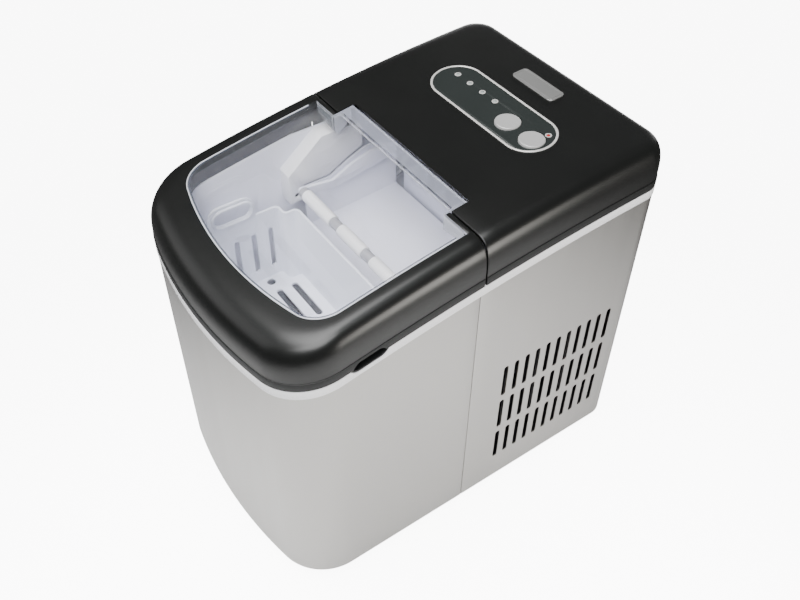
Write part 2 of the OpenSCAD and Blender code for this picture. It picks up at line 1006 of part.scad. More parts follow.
wall_step = [[-33, 252], [-8, 252], [12, 262], [28, 268], [62, 268]];
module ice_chute() {
    floor_front_z = 210;
    floor_rear_z = 215;
    floor_t = 3;
    color(tub_white)
        difference() {
            union() {
                along_x(-chute_half_w - chute_t, chute_half_w + chute_t)
                    polygon([
                        [chute_y[0], floor_front_z - floor_t], [chute_y[1], floor_rear_z - floor_t],
                        [chute_y[1], floor_rear_z], [chute_y[0], floor_front_z],
                    ]);
                both_sides()
                    along_x(chute_half_w, chute_half_w + chute_t)
                        polygon(concat(
                            [[chute_y[1], floor_rear_z - 1], [chute_y[0], floor_front_z - 1]], wall_step
                        ));
            }
            rod_x(-reach, reach, shovel_y, shovel_z, pivot_r + running_gap);
        }
}

sensor_at = [-41, 246];
sensor_r = 2.2;
sensor_depth = 6;
// A wedge-shaped housing on the chamber's left wall; the right one is its mirror
module ice_sensor() {
    color(white)
        difference() {
            along_x(-tub_half_w + sheet_gap, -chute_half_w)
                polygon([
                    [-48, 239], [-48, 268], [-14, tub_top_z], [26, tub_top_z], [26, 271],
                    [11, 265], [-9, 254.5], [-34, 254.5], [-34, 239],
                ]);
            rod_x(-chute_half_w - sensor_depth, -chute_half_w + 1, sensor_at[0], sensor_at[1], sensor_r);
        }
}

module ice_sensor_left() {
    ice_sensor();
}

module ice_sensor_right() {
    mirror([1, 0, 0])
        ice_sensor();
}

module sensor_lenses() {
    color("#2a2a30")
        both_sides()
            rod_x(-chute_half_w - sensor_depth, -chute_half_w - 1.5, sensor_at[0], sensor_at[1], sensor_r);
}

sleeve_spans = [[-70.5, -29], [-17, 17], [29, 70.5]];
sleeve_bore_r = 4.4;
rod_r = 3;
module ice_shovel() {
    hub_r = 7;
    color(tub_white) {
        rod_x(-arm_x[0], arm_x[0], bar_y, bar_z, sleeve_bore_r);
        both_sides() {
            along_x(arm_x[0], arm_x[1])
                polygon([
                    [bar_y, bar_z + rod_r], [bar_y, bar_z - rod_r], [-9, 244], [shovel_y, 253],
                    [shovel_y, 267], [29, 267], [10, 261.5], [-9, 252.5],
                ]);
            rod_x(arm_x[0], arm_x[1], bar_y, bar_z, rod_r);
            rod_x(arm_x[0], arm_x[1], shovel_y, shovel_z, hub_r);
            rod_x(arm_x[1], chute_half_w + chute_t + 0.5, shovel_y, shovel_z, pivot_r);
        }
    }
}

module shovel_sleeves() {
    sleeve_r = 5.5;
    color(white)
        for (span = sleeve_spans)
            difference() {
                rod_x(span[0], span[1], bar_y, bar_z, sleeve_r);
                rod_x(span[0] - 1, span[1] + 1, bar_y, bar_z, sleeve_bore_r);
            }
}

module water_tray() {
    wall = 2;
    tab_x = [68, tray_half_w];
    color("#d3d6e6")
        difference() {
            union() {
                difference() {
                    block([-tray_half_w, tray_y[0], tray_z[0]], [tray_half_w, tray_y[1], tray_z[1]]);
                    block([-tray_half_w + wall, tray_y[0] + wall, tray_z[0] + wall],
                        [tray_half_w - wall, tray_y[1] - wall, reach]);
                }
                both_sides()
                    block([tab_x[0], tray_y[1] - 1, tray_axis_z - 4], [tab_x[1], tray_axis_y + 4, tray_z[1]]);
            }
            rod_x(-reach, reach, tray_axis_y, tray_axis_z, shaft_r);
        }
}

shaft_x = [-92, 92];
module tray_shaft() {
    color(steel)
        rod_x(shaft_x[0], shaft_x[1], tray_axis_y, tray_axis_z, shaft_r);
}

shaft_end_gap = 2;
module tray_bearing() {
    x = [-tub_half_w + 0.5, -tub_half_w + 13];
    half_l = 7;
    half_h = 8;
    color(white)
        difference() {
            block([x[0], tray_axis_y - half_l, tray_axis_z - half_h],
                [x[1], tray_axis_y + half_l, tray_axis_z + half_h]);
            rod_x(shaft_x[0] - shaft_end_gap, 0, tray_axis_y, tray_axis_z, shaft_r + running_gap);
        }
}

module tray_motor() {
    low = [86, 106, 214];
    high = [tub_half_w - 0.5, 130, 246];
    color("#c8c9cc")
        difference() {
            block(low, high);
            rod_x(0, shaft_x[1] + shaft_end_gap, tray_axis_y, tray_axis_z, shaft_r + running_gap);
        }
}

module evaporator() {
    plate = [[-66, 70, 276], [66, 112, 282]];
    finger_low_z = 218;
    // Rows of fingers: [y, count]
    rows = [[80, 5], [102, 4]];
    color("#c9c6c0") {
        block(plate[0], plate[1]);
        for (row = rows, i = [0 : row[1] - 1])
            translate([(i - (row[1] - 1) / 2) * finger_pitch, row[0], finger_low_z])
                cylinder(d = finger_d, h = plate[0][2] - finger_low_z + 1);
    }
}

module evaporator_cover() {
    half_w = tub_half_w - 0.3;
    y = [62, 118];
    z = [286, 289];
    color(tub_white)
        block([-half_w, y[0], z[0]], [half_w, y[1], z[1]]);
}

pump_outlet = [-80, -12];
pump_outlet_z = tub_floor_z + 36;
module water_pump() {
    outlet_r = 5;
    outlet_h = 9;
    low = [-88, -34, tub_floor_z + 0.2];
    size = [32, 30, 27.8];
    color("#2b2d30") {
        block(low, low + size);
        translate([pump_outlet[0], pump_outlet[1], pump_outlet_z - outlet_h])
            cylinder(r = outlet_r, h = outlet_h);
    }
}

module pump_hose() {
    hose_r = 3.5;
    foot_z = pump_outlet_z + 0.2;
    color("#dfe3e8", 0.6)
        tube([
            [pump_outlet[0], pump_outlet[1], foot_z], [pump_outlet[0], pump_outlet[1], 150], [-84, -8, 168], [-92, -3, 182], [-92.5, 8, 196],
            [-92.5, 40, 204], [-92.5, 72, 220], [-92.5, 86, 240], [-90, 91, 248], [-82, 91, 251],
            [-66, 91, 251],
        ], hose_r);
}

module float_sensor() {
    stem_r = 3;
    stem_h = 50;
    float_r = 10;
    float_h = 14;
    float_rise = 18;
    color("#ddddda")
        translate([70, -14, tub_floor_z + 0.2]) {
            cylinder(r = stem_r, h = stem_h);
            translate([0, 0, float_rise])
                cylinder(r = float_r, h = float_h);
        }
}

// ---------- cooling ----------

compressor_at = [-48, 70];
compressor_low_z = 24;
leg_circle_r = 46;
module compressor_legs(low_z, r, h) {
    for (a = [45 : 90 : 315])
        translate([compressor_at[0], compressor_at[1], low_z])
            rotate(a)
                translate([leg_circle_r, 0])
                    cylinder(r = r, h = h);
}

module compressor() {
    shell_r = 45;
    shell_h = 114;
    dome_r = 36;
    dome_h = 9;
    leg_r = 6;
    leg_h = 3;
    color("#1d1f22") {
        translate([compressor_at[0], compressor_at[1], compressor_low_z]) {
            cylinder(r = shell_r, h = shell_h);
            translate([0, 0, shell_h - 1])
                cylinder(r = dome_r, h = dome_h);
        }
        compressor_legs(compressor_low_z, leg_r, leg_h);
    }
}

module compressor_grommets() {
    grommet_r = 5;
    low_z = steel_z + sheet_gap;
    color("#333333")
        compressor_legs(low_z, grommet_r, compressor_low_z - sheet_gap - low_z);
}

condenser_x = [88, 106];
condenser_tube_z = [56 : 22 : 144];
module condenser() {
    fin_count = 13;
    fin_t = 1;
    first_y = 36;
    pitch = 9;
    z = [42, 162];
    tube_r = 3;
    color("#a9acae") {
        for (i = [0 : fin_count - 1])
            block([condenser_x[0], first_y + i * pitch, z[0]],
                [condenser_x[1], first_y + i * pitch + fin_t, z[1]]);
        for (tube_at = condenser_tube_z)
            rod_y((condenser_x[0] + condenser_x[1]) / 2, first_y - tube_r,
                first_y + fin_count * pitch, tube_at, tube_r);
    }
}

module fan_shroud() {
    half = 58;
    tip_gap = 2;
    color(black)
        difference() {
            block([fan_x[0], fan_y - half, fan_z - half], [fan_x[1], fan_y + half, fan_z + half]);
            rod_x(fan_x[0] - 1, fan_x[1] + 1, fan_y, fan_z, fan_r + tip_gap);
        }
}

fan_shaft_r = 2;
fan_shaft_end_x = 78;
module fan_motor() {
    body_x = [40, 64];
    body_r = 17;
    stand_x = [42, 60];
    stand_half_w = 6;
    color("#7d7f82") {
        rod_x(body_x[0], body_x[1], fan_y, fan_z, body_r);
        rod_x(stand_x[1], fan_shaft_end_x, fan_y, fan_z, fan_shaft_r);
        block([stand_x[0], fan_y - stand_half_w, steel_z + 0.2],
            [stand_x[1], fan_y + stand_half_w, fan_z]);
    }
}

module fan_blade() {
    hub_x = [68, 80];
    hub_r = 14;
    blade_count = 5;
    blade_t = 2;
    blade_half_w = 14;
    blade_pitch = 24;
    inside = 3;
    color("#24262a")
        difference() {
            union() {
                rod_x(hub_x[0], hub_x[1], fan_y, fan_z, hub_r);
                for (i = [0 : blade_count - 1])
                    translate([(hub_x[0] + hub_x[1]) / 2, fan_y, fan_z])
                        rotate([360 * i / blade_count, 0, 0])
                            rotate([0, 0, blade_pitch])
                                block([-blade_t / 2, -blade_half_w, hub_r - inside],
                                    [blade_t / 2, blade_half_w, fan_r - inside]);
            }
            rod_x(hub_x[0] - 1, fan_shaft_end_x + 0.5, fan_y, fan_z, fan_shaft_r + running_gap);
        }
}

drier_at = [20, 156];
drier_z = [80, 130];
module filter_drier() {
    drier_r = 8;
    color(copper)
        translate([drier_at[0], drier_at[1], drier_z[0]])
            cylinder(r = drier_r, h = drier_z[1] - drier_z[0]);
}

module refrigerant_pipes() {
    pipe_r = 2.5;
    color(copper) {
        tube([
            [-30, 92, 147], [-30, 92, 154], [-30, 98, 162], [-30, 150, 162], [-22, 160, 162],
            [108, 160, 162], [112, 156, 162], [112, 40, 162], [110, 30, 156], [98, 28, 146],
        ], pipe_r);
        tube([
            [97, 156, 56], [80, 160, 68], [30, 158, 70], [drier_at[0], drier_at[1], 74],
            [drier_at[0], drier_at[1], drier_z[0]],
        ], pipe_r);
        tube([
            [drier_at[0], drier_at[1], drier_z[1]], [20, 156, 296], [20, 152, 301], [20, 128, 301], [20, 122, 296],
            [20, 122, 283], [20, 118, 279], [20, 112, 279],
        ], pipe_r);
        tube([
            [-20, 112, 279], [-20, 118, 279], [-20, 122, 283], [-20, 122, 296], [-20, 128, 301],
            [-20, 148, 301], [-20, 152, 296], [-20, 152, 178], [-24, 148, 170], [-60, 110, 170],
            [-64, 104, 164], [-64, 92, 147],
        ], pipe_r);
    }
}

module solenoid_valve() {
    low = [-100, 134, 60];
    size = [20, 24, 24];
    plunger_r = 5;
    plunger_h = 23;
    color("#8a6a3a")
        translate(low) {
            cube(size);
            translate([size[0] / 2, size[1] / 2, size[2] - 1])
                cylinder(r = plunger_r, h = plunger_h);
        }
}

module main_board() {
    board_y = 168;
    board = [[-96, board_y, 176], [-30, board_y + board_t, 236]];
    relay = [[-90, 156, 190], [-66, board_y + 0.5, 214]];
    transformer = [[-58, 154, 196], [-38, board_y + 0.5, 222]];
    color("#2c5a3a")
        for (part = [board, relay, transformer])
            block(part[0], part[1]);
}

module wire_loom() {
    loom_r = 2;
    color("#303030")
        tube([[-44, 165, 222], [-44, 163, 240], [-44, 158, 292], [-44, 144, 304], [-44, 108, 309]], loom_r);
}

// ---------- drain ----------

spout_y = [150, 176];
spout_r = 8;
module drain_hose() {
    hose_r = 5.5;
    start_y = tub_deep_rear_y + tub_t + 0.3;
    color("#cfd4da", 0.6)
        tube([
            [drain_x, start_y, tub_drain_z], [drain_x, start_y + 20, tub_drain_z],
            [drain_x, 60, 80], [drain_x, 110, 62], [drain_x, 140, drain_z],
            [drain_x, spout_y[0], drain_z],
        ], hose_r);
}

module drain_spout() {
    wall = 2;
    color(white)
        difference() {
            rod_y(drain_x, spout_y[0], spout_y[1], drain_z, spout_r);
            rod_y(drain_x, spout_y[0] + wall, spout_y[1] + 1, drain_z, spout_r - wall);
        }
}

module drain_cap() {
    cap_r = 11;
    cap_y = [168, body_half_d - 0.3];
    color(black)
        difference() {
            rod_y(drain_x, cap_y[0], cap_y[1], drain_z, cap_r);
            rod_y(drain_x, cap_y[0] - 1, spout_y[1] + gap, drain_z, spout_r + gap);
        }
}

base_pan();
feet();
front_shell();
rear_shell();
back_panel();
back_panel_screws();
base_screws();
cord_gland();
trim_ring();
rear_cover();
panel_bezel();
panel_overlay();
badge_plate();
select_button();
power_button();
indicator_lenses();
power_indicator();
control_board();
tact_switches();
lid_frame();
lid_window();
hinge_pin_left();
hinge_pin_right();
hinge_bracket_left();
hinge_bracket_right();
inner_tub();
insulation_foam();
ice_basket();
ice_sensor_left();
ice_sensor_right();
sensor_lenses();
ice_chute();
ice_shovel();
shovel_sleeves();
water_tray();
tray_shaft();
tray_bearing();
tray_motor();
evaporator();
evaporator_cover();
water_pump();
pump_hose();
float_sensor();
compressor();
compressor_grommets();
condenser();
fan_shroud();
fan_motor();
fan_blade();
filter_drier();
refrigerant_pipes();
solenoid_valve();
main_board();
wire_loom();
drain_hose();
drain_spout();
drain_cap();
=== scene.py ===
"""Countertop ice maker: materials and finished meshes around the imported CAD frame.

Lengths are in millimetres unless a name or a comment says otherwise. Blender's own are in metres.
"""

import json
import math

import bmesh
import bpy
from mathutils import Matrix, Vector


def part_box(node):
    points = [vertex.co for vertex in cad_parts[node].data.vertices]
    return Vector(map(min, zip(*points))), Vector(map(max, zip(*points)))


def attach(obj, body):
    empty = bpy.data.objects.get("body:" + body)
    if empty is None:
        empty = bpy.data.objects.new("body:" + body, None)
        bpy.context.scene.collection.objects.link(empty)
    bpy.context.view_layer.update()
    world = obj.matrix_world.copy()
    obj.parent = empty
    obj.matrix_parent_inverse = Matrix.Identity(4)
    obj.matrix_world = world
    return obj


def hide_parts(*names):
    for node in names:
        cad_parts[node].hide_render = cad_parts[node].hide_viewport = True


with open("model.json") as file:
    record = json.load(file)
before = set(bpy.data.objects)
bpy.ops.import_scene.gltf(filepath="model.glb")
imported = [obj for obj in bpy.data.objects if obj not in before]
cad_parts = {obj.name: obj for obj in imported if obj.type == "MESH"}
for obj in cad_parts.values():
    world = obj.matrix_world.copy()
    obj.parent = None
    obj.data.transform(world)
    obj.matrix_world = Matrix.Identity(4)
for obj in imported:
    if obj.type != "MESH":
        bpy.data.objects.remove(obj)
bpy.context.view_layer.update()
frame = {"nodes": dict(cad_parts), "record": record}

MM = 0.001
BODY_OF = {n: b for b, nodes in frame["record"]["behaviour"]["bodies"].items() for n in nodes}
SLOT_OF = {s["node"]: s["material_slot"] for s in frame["record"]["subparts"]}


def extent(node):
    """A node's lowest and highest corners in millimetres."""
    lo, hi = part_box(node)
    return Vector(lo) / MM, Vector(hi) / MM


# ---------- the body's curves, as the CAD source has them ----------

HALF_W, HALF_D = extent("trim_ring")[1].xy
STEEL_Z = extent("front_shell")[0].z
BOW_R, FRONT_R, REAR_R, LEAST_R = 420.0, 46.0, 20.0, 2
TRIM_H, LIP_H, GAP, COVER_T, SKIRT = 8.2, 7.4, 0.4, 2.5, 18.0
WINDOW_HALF, WINDOW_R, WINDOW_BOW, WINDOW_FRONT = 100.6, 26.0, 310.0, -148.0
PLATEAU_R, PLATEAU_REAR = 16.0, 166.0
LID_REAR, COVER_FRONT = -3.25, -1.75
SEAM, SEAM_GAP = -6.0, 0.2

# The side view's two long arcs: where they are highest, then radius and height of each
APEX_Y = 242.0
TRIM_ARC = (2016.0, 287.4)
CROWN_ARC = (1950.0, 335.3)

# The first few stations behind an edge, and how far the surface is rounded in at each
EDGE_STEPS = ((0.0, 0.55), (0.12, 0.25), (0.3, 0.08), (0.6, 0.0))
EDGE_FOLDS = [fold for _, fold in EDGE_STEPS]

# How many steps each stretch of a plan outline has
FRONT_SIDE_STEPS, FRONT_CORNER_STEPS, BOW_STEPS = 14, 20, 12
REAR_SIDE_STEPS, REAR_CORNER_STEPS = 12, 16


def arc_height(y, radius, apex_z):
    return apex_z - radius + math.sqrt(radius * radius - (y - APEX_Y) ** 2)


def trim_z(y):
    """The trim ring's underside."""
    return arc_height(y, *TRIM_ARC)


def crown_z(y):
    """The top surface."""
    return arc_height(y, *CROWN_ARC)


def lip_z(y):
    """The lower edge of the black covers."""
    return trim_z(y) + TRIM_H + GAP


def lerp(a, b, w):
    return a * (1 - w) + b * w


def lerp2(a, b, w):
    return (lerp(a[0], b[0], w), lerp(a[1], b[1], w))


def arc(cx, cy, r, a0, a1, steps):
    """Points on an arc from a0 to a1 degrees, both ends included."""
    out = []
    for i in range(steps + 1):
        a = math.radians(lerp(a0, a1, i / steps))
        out.append((cx + r * math.cos(a), cy + r * math.sin(a)))
    return out


def circle(cx, cy, r, gap, steps):
    """Points round a circle, from 0 degrees to a gap short of the full turn."""
    return arc(cx, cy, r, 0, 360 - gap, steps)


def mirrored(points):
    return [(-x, y) for x, y in reversed(points)]


def edge_stations(edge_y, rearward):
    """The y of each station behind an edge; rearward is 1 or -1."""
    return [edge_y + rearward * back for back, _ in EDGE_STEPS]


def bowed(half_w, corner_r, bow, front_y, rear_ys):
    """A bowed outline from its rear left end round the front to its rear right end."""
    centre_y = front_y + bow
    corner_x = half_w - corner_r
    corner_y = centre_y - math.sqrt((bow - corner_r) ** 2 - corner_x**2)
    turn = math.degrees(math.asin(corner_x / (bow - corner_r)))
    rear_y = rear_ys[-1]
    steps = FRONT_SIDE_STEPS
    side = [(-half_w, y) for y in rear_ys]
    side += [(-half_w, lerp(rear_y, corner_y, i / steps)) for i in range(1, steps)]
    corner = arc(-corner_x, corner_y, corner_r, 180, 270 - turn, FRONT_CORNER_STEPS)
    front = arc(0, centre_y, bow, 270 - turn, 270, BOW_STEPS)[1:]
    left = side + corner + front
    return left + mirrored(left[:-1])


def rear_points(half_w, corner_r, rear_y, front_ys):
    """The right half of a rear outline, from its front end to the end of its corner."""
    front_y, corner_y = front_ys[-1], rear_y - corner_r
    steps = REAR_SIDE_STEPS
    side = [(half_w, y) for y in front_ys]
    side += [(half_w, lerp(front_y, corner_y, i / steps)) for i in range(1, steps)]
    return side + arc(half_w - corner_r, corner_y, corner_r, 0, 90, REAR_CORNER_STEPS)


def body_front(inset, rear_ys):
    """The body's outline forward of rear_ys, drawn in by inset."""
    return bowed(HALF_W - inset, FRONT_R - inset, BOW_R - inset, -HALF_D + inset, rear_ys)


def body_rear(inset, front_ys):
    """The right half of the body's outline behind front_ys, drawn in by inset."""
    corner_r = max(REAR_R - inset, LEAST_R)
    return rear_points(HALF_W - inset, corner_r, HALF_D - inset, front_ys)


# ---------- mesh helpers ----------

# In degrees: edges above SHARP_ANGLE stay sharp, and faces within FLAT_ANGLE become one
SHARP_ANGLE, FLAT_ANGLE = 32, 0.4
MERGE_M = 1e-6
RECT_STEPS = 6


def finish_mesh(obj, angle=SHARP_ANGLE):
    """Smooth shading with the edges above an angle kept sharp."""
    me = obj.data
    me.polygons.foreach_set("use_smooth", [True] * len(me.polygons))
    me.set_sharp_from_angle(angle=math.radians(angle))
    me.update()


def new_object(name, bm):
    bmesh.ops.recalc_face_normals(bm, faces=bm.faces)
    me = bpy.data.meshes.new(name)
    bm.to_mesh(me)
    bm.free()
    obj = bpy.data.objects.new(name, me)
    bpy.context.scene.collection.objects.link(obj)
    return obj


def grid(bm, rows, closed_rows=False, closed_loop=True):
    """Quads between rows of points; each row is a loop unless told otherwise."""
    vs = [[bm.verts.new(Vector(p) * MM) for p in row] for row in rows]
    count = len(rows[0])
    pairs = list(zip(vs, vs[1:]))
    if closed_rows:
        pairs.append((vs[-1], vs[0]))
    for a, b in pairs:
        for j in range(count if closed_loop else count - 1):
            k = (j + 1) % count
            bm.faces.new((a[j], a[k], b[k], b[j]))
    return vs


def loft(name, rows, closed_rows=False):
    """A solid through closed loops, capped at both ends unless the rows close on themselves."""
    bm = bmesh.new()
    vs = grid(bm, rows, closed_rows)
    if not closed_rows:
        bm.faces.new(vs[0])
        bm.faces.new(list(reversed(vs[-1])))
    return new_object(name, bm)


def prism(name, outline, low, high, axis="z"):
    """A solid between two heights along an axis. The outline is in the other two, in order."""
    place = {
        "z": lambda p, h: (p[0], p[1], h),
        "y": lambda p, h: (p[0], h, p[1]),
        "x": lambda p, h: (h, p[0], p[1]),
    }[axis]
    return loft(name, [[place(p, low) for p in outline], [place(p, high) for p in outline]])


def stadium(cx, cy, half_l, half_w, steps, upright=False):
    """A slot's outline, its ends half circles; upright stands it along the second axis."""
    s = half_l - half_w
    if upright:
        return arc(cx, cy + s, half_w, 0, 180, steps) + arc(cx, cy - s, half_w, 180, 360, steps)
    return arc(cx + s, cy, half_w, -90, 90, steps) + arc(cx - s, cy, half_w, 90, 270, steps)


def rounded_rect(cx, cy, w, h, r):
    out = []
    for sx, sy, a in ((1, 1, 0), (-1, 1, 90), (-1, -1, 180), (1, -1, 270)):
        out += arc(cx + sx * (w / 2 - r), cy + sy * (h / 2 - r), r, a, a + 90, RECT_STEPS)
    return out


def lathe(name, profile, x, y, steps):
    """A solid turned about an upright axis. The profile is [(radius, height)]."""
    rows = []
    for i in range(steps):
        a = 2 * math.pi * i / steps
        c, s = math.cos(a), math.sin(a)
        rows.append([Vector((r * c, r * s, h)) + Vector((x, y, 0)) for r, h in profile])
    bm = bmesh.new()
    grid(bm, rows, closed_rows=True, closed_loop=False)
    bmesh.ops.remove_doubles(bm, verts=bm.verts, dist=MERGE_M)
    return new_object(name, bm)


def outline_path(outline, height):
    """Points of a closed plan outline at a height, each with its outward direction."""
    path = []
    count = len(outline)
    for i, p in enumerate(outline):
        a, b = outline[i - 1], outline[(i + 1) % count]
        t = Vector((b[0] - a[0], b[1] - a[1], 0)).normalized()
        path.append((Vector((p[0], p[1], height(p[1]))), Vector((t.y, -t.x, 0))))
    return path


def swept(path, profile):
    """The rows of a profile [(outward, up)] carried along a path [(point, outward)]."""
    return [[p + n * out + Vector((0, 0, up)) for out, up in profile] for p, n in path]


def join(objs):
    """Merges objects into the first one and returns it."""
    base = objs[0]
    bm = bmesh.new()
    for o in objs:
        bm.from_mesh(o.data)
    bm.to_mesh(base.data)
    bm.free()
    for o in objs[1:]:
        bpy.data.objects.remove(o, do_unlink=True)
    return base


def apply_modifiers(obj):
    dg = bpy.context.evaluated_depsgraph_get()
    me = bpy.data.meshes.new_from_object(obj.evaluated_get(dg))
    obj.modifiers.clear()
    obj.data = me
    return obj


def boolean(obj, cutter, operation="DIFFERENCE"):
    m = obj.modifiers.new("cut", "BOOLEAN")
    m.object = cutter
    m.operation = operation
    m.solver = "EXACT"
    apply_modifiers(obj)
    bpy.data.objects.remove(cutter, do_unlink=True)
    return obj


def bevel(obj, width, segments=2, angle=35):
    m = obj.modifiers.new("bevel", "BEVEL")
    m.width = width * MM
    m.segments = segments
    m.limit_method = "ANGLE"
    m.angle_limit = math.radians(angle)
    m.use_clamp_overlap = True
    return apply_modifiers(obj)


def cut_across(obj, at, axis):
    """Splits an object's faces where they cross the plane that sits at `at` on an axis."""
    normal = Vector([float(name == axis) for name in "xyz"])
    bm = bmesh.new()
    bm.from_mesh(obj.data)
    every = bm.verts[:] + bm.edges[:] + bm.faces[:]
    bmesh.ops.bisect_plane(bm, geom=every, plane_co=normal * at * MM, plane_no=normal)
    bm.to_mesh(obj.data)
    bm.free()
    return obj


def cad_copy(node, name):
    """A new object with a CAD node's shape, its flat faces merged."""
    bm = bmesh.new()
    bm.from_mesh(frame["nodes"][node].data)
    bmesh.ops.remove_doubles(bm, verts=bm.verts, dist=MERGE_M)
    bmesh.ops.dissolve_limit(
        bm, angle_limit=math.radians(FLAT_ANGLE), verts=bm.verts, edges=bm.edges)
    return new_object(name, bm)


def settle(obj, node, material=None, replaces=True, angle=SHARP_ANGLE):
    """Shading, body, and the material of its node's slot, for a finished piece that stands for a
    CAD node.
    """
    finish_mesh(obj, angle)
    slot = SLOT_OF[node]
    obj.data.materials.clear()
    obj.data.materials.append(material or MATERIALS[slot])
    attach(obj, BODY_OF[node])
    if replaces:
        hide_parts(node)
    return obj


def paint_faces(obj, material, chosen):
    """Gives another material to the faces that chosen(centre in millimetres, normal) picks."""
    obj.data.materials.append(material)
    index = len(obj.data.materials) - 1
    for face in obj.data.polygons:
        if chosen(face.center / MM, face.normal):
            face.material_index = index
    return obj


# ---------- materials ----------

# Sockets of the colour Mix node, whose names repeat for each of its data types
MIX_FACTOR, MIX_A, MIX_B, MIX_RESULT = 0, 6, 7, 2
NOISE_LOW, NOISE_HIGH = 0.3, 0.7
LEAST_ROUGH = 0.02
COAT_ROUGH = 0.1


def add_node(tree, kind, **values):
    """A shader node with each value set on its input, or else its attribute, of that name."""
    n = tree.nodes.new(kind)
    for key, value in values.items():
        if key in n.inputs:
            n.inputs[key].default_value = value
        else:
            setattr(n, key, value)
    return n


def surface(name, colour, rough, grain, metallic=0.0, bump=0.05, mottle=0.06,
            rough_spread=0.06, stretch=(1, 1, 1), coat=0.0, ior=1.5, alpha=1.0,
            transmission=0.0, bump_mm=0.05, broad=14.0):
    """A procedural finish: fine grain as bump, soft mottling of the colour, uneven roughness."""
    mat = bpy.data.materials.new(name)
    mat.use_nodes = True
    nt = mat.node_tree
    shader = nt.nodes["Principled BSDF"]
    for socket, value in (
        ("Metallic", metallic), ("IOR", ior), ("Coat Weight", coat),
        ("Coat Roughness", COAT_ROUGH), ("Alpha", alpha), ("Transmission Weight", transmission),
    ):
        shader.inputs[socket].default_value = value

    coords = add_node(nt, "ShaderNodeTexCoord")
    mapping = add_node(nt, "ShaderNodeMapping", Scale=stretch)
    nt.links.new(coords.outputs["Object"], mapping.inputs["Vector"])
    fine = add_node(nt, "ShaderNodeTexNoise", Scale=grain, Detail=4.0, Roughness=0.6)
    wide = add_node(nt, "ShaderNodeTexNoise", Scale=broad, Detail=3.0)
    for noise in (fine, wide):
        nt.links.new(mapping.outputs["Vector"], noise.inputs["Vector"])

    # The mean of the two noises mixes the darker and the lighter tone, and sets the roughness
    half = add_node(nt, "ShaderNodeMath", operation="MULTIPLY")
    half.inputs[1].default_value = 0.5
    nt.links.new(wide.outputs["Fac"], half.inputs[0])
    blend = add_node(nt, "ShaderNodeMath", operation="MULTIPLY_ADD")
    blend.inputs[1].default_value = 0.5
    nt.links.new(fine.outputs["Fac"], blend.inputs[0])
    nt.links.new(half.outputs[0], blend.inputs[2])

    tone = add_node(nt, "ShaderNodeMix", data_type="RGBA", blend_type="MIX")
    tone.inputs[MIX_A].default_value = [c * (1 - mottle) for c in colour] + [1]
    tone.inputs[MIX_B].default_value = [min(1, c * (1 + mottle)) for c in colour] + [1]
    nt.links.new(blend.outputs[0], tone.inputs[MIX_FACTOR])
    nt.links.new(tone.outputs[MIX_RESULT], shader.inputs["Base Color"])

    spread = add_node(nt, "ShaderNodeMapRange")
    for socket, value in (
        ("From Min", NOISE_LOW), ("From Max", NOISE_HIGH),
        ("To Min", max(LEAST_ROUGH, rough - rough_spread)),
        ("To Max", min(1, rough + rough_spread)),
    ):
        spread.inputs[socket].default_value = value
    nt.links.new(blend.outputs[0], spread.inputs["Value"])
    nt.links.new(spread.outputs["Result"], shader.inputs["Roughness"])

    relief = add_node(nt, "ShaderNodeBump", Strength=bump, Distance=bump_mm * MM)
    nt.links.new(fine.outputs["Fac"], relief.inputs["Height"])
    nt.links.new(relief.outputs["Normal"], shader.inputs["Normal"])
    return mat


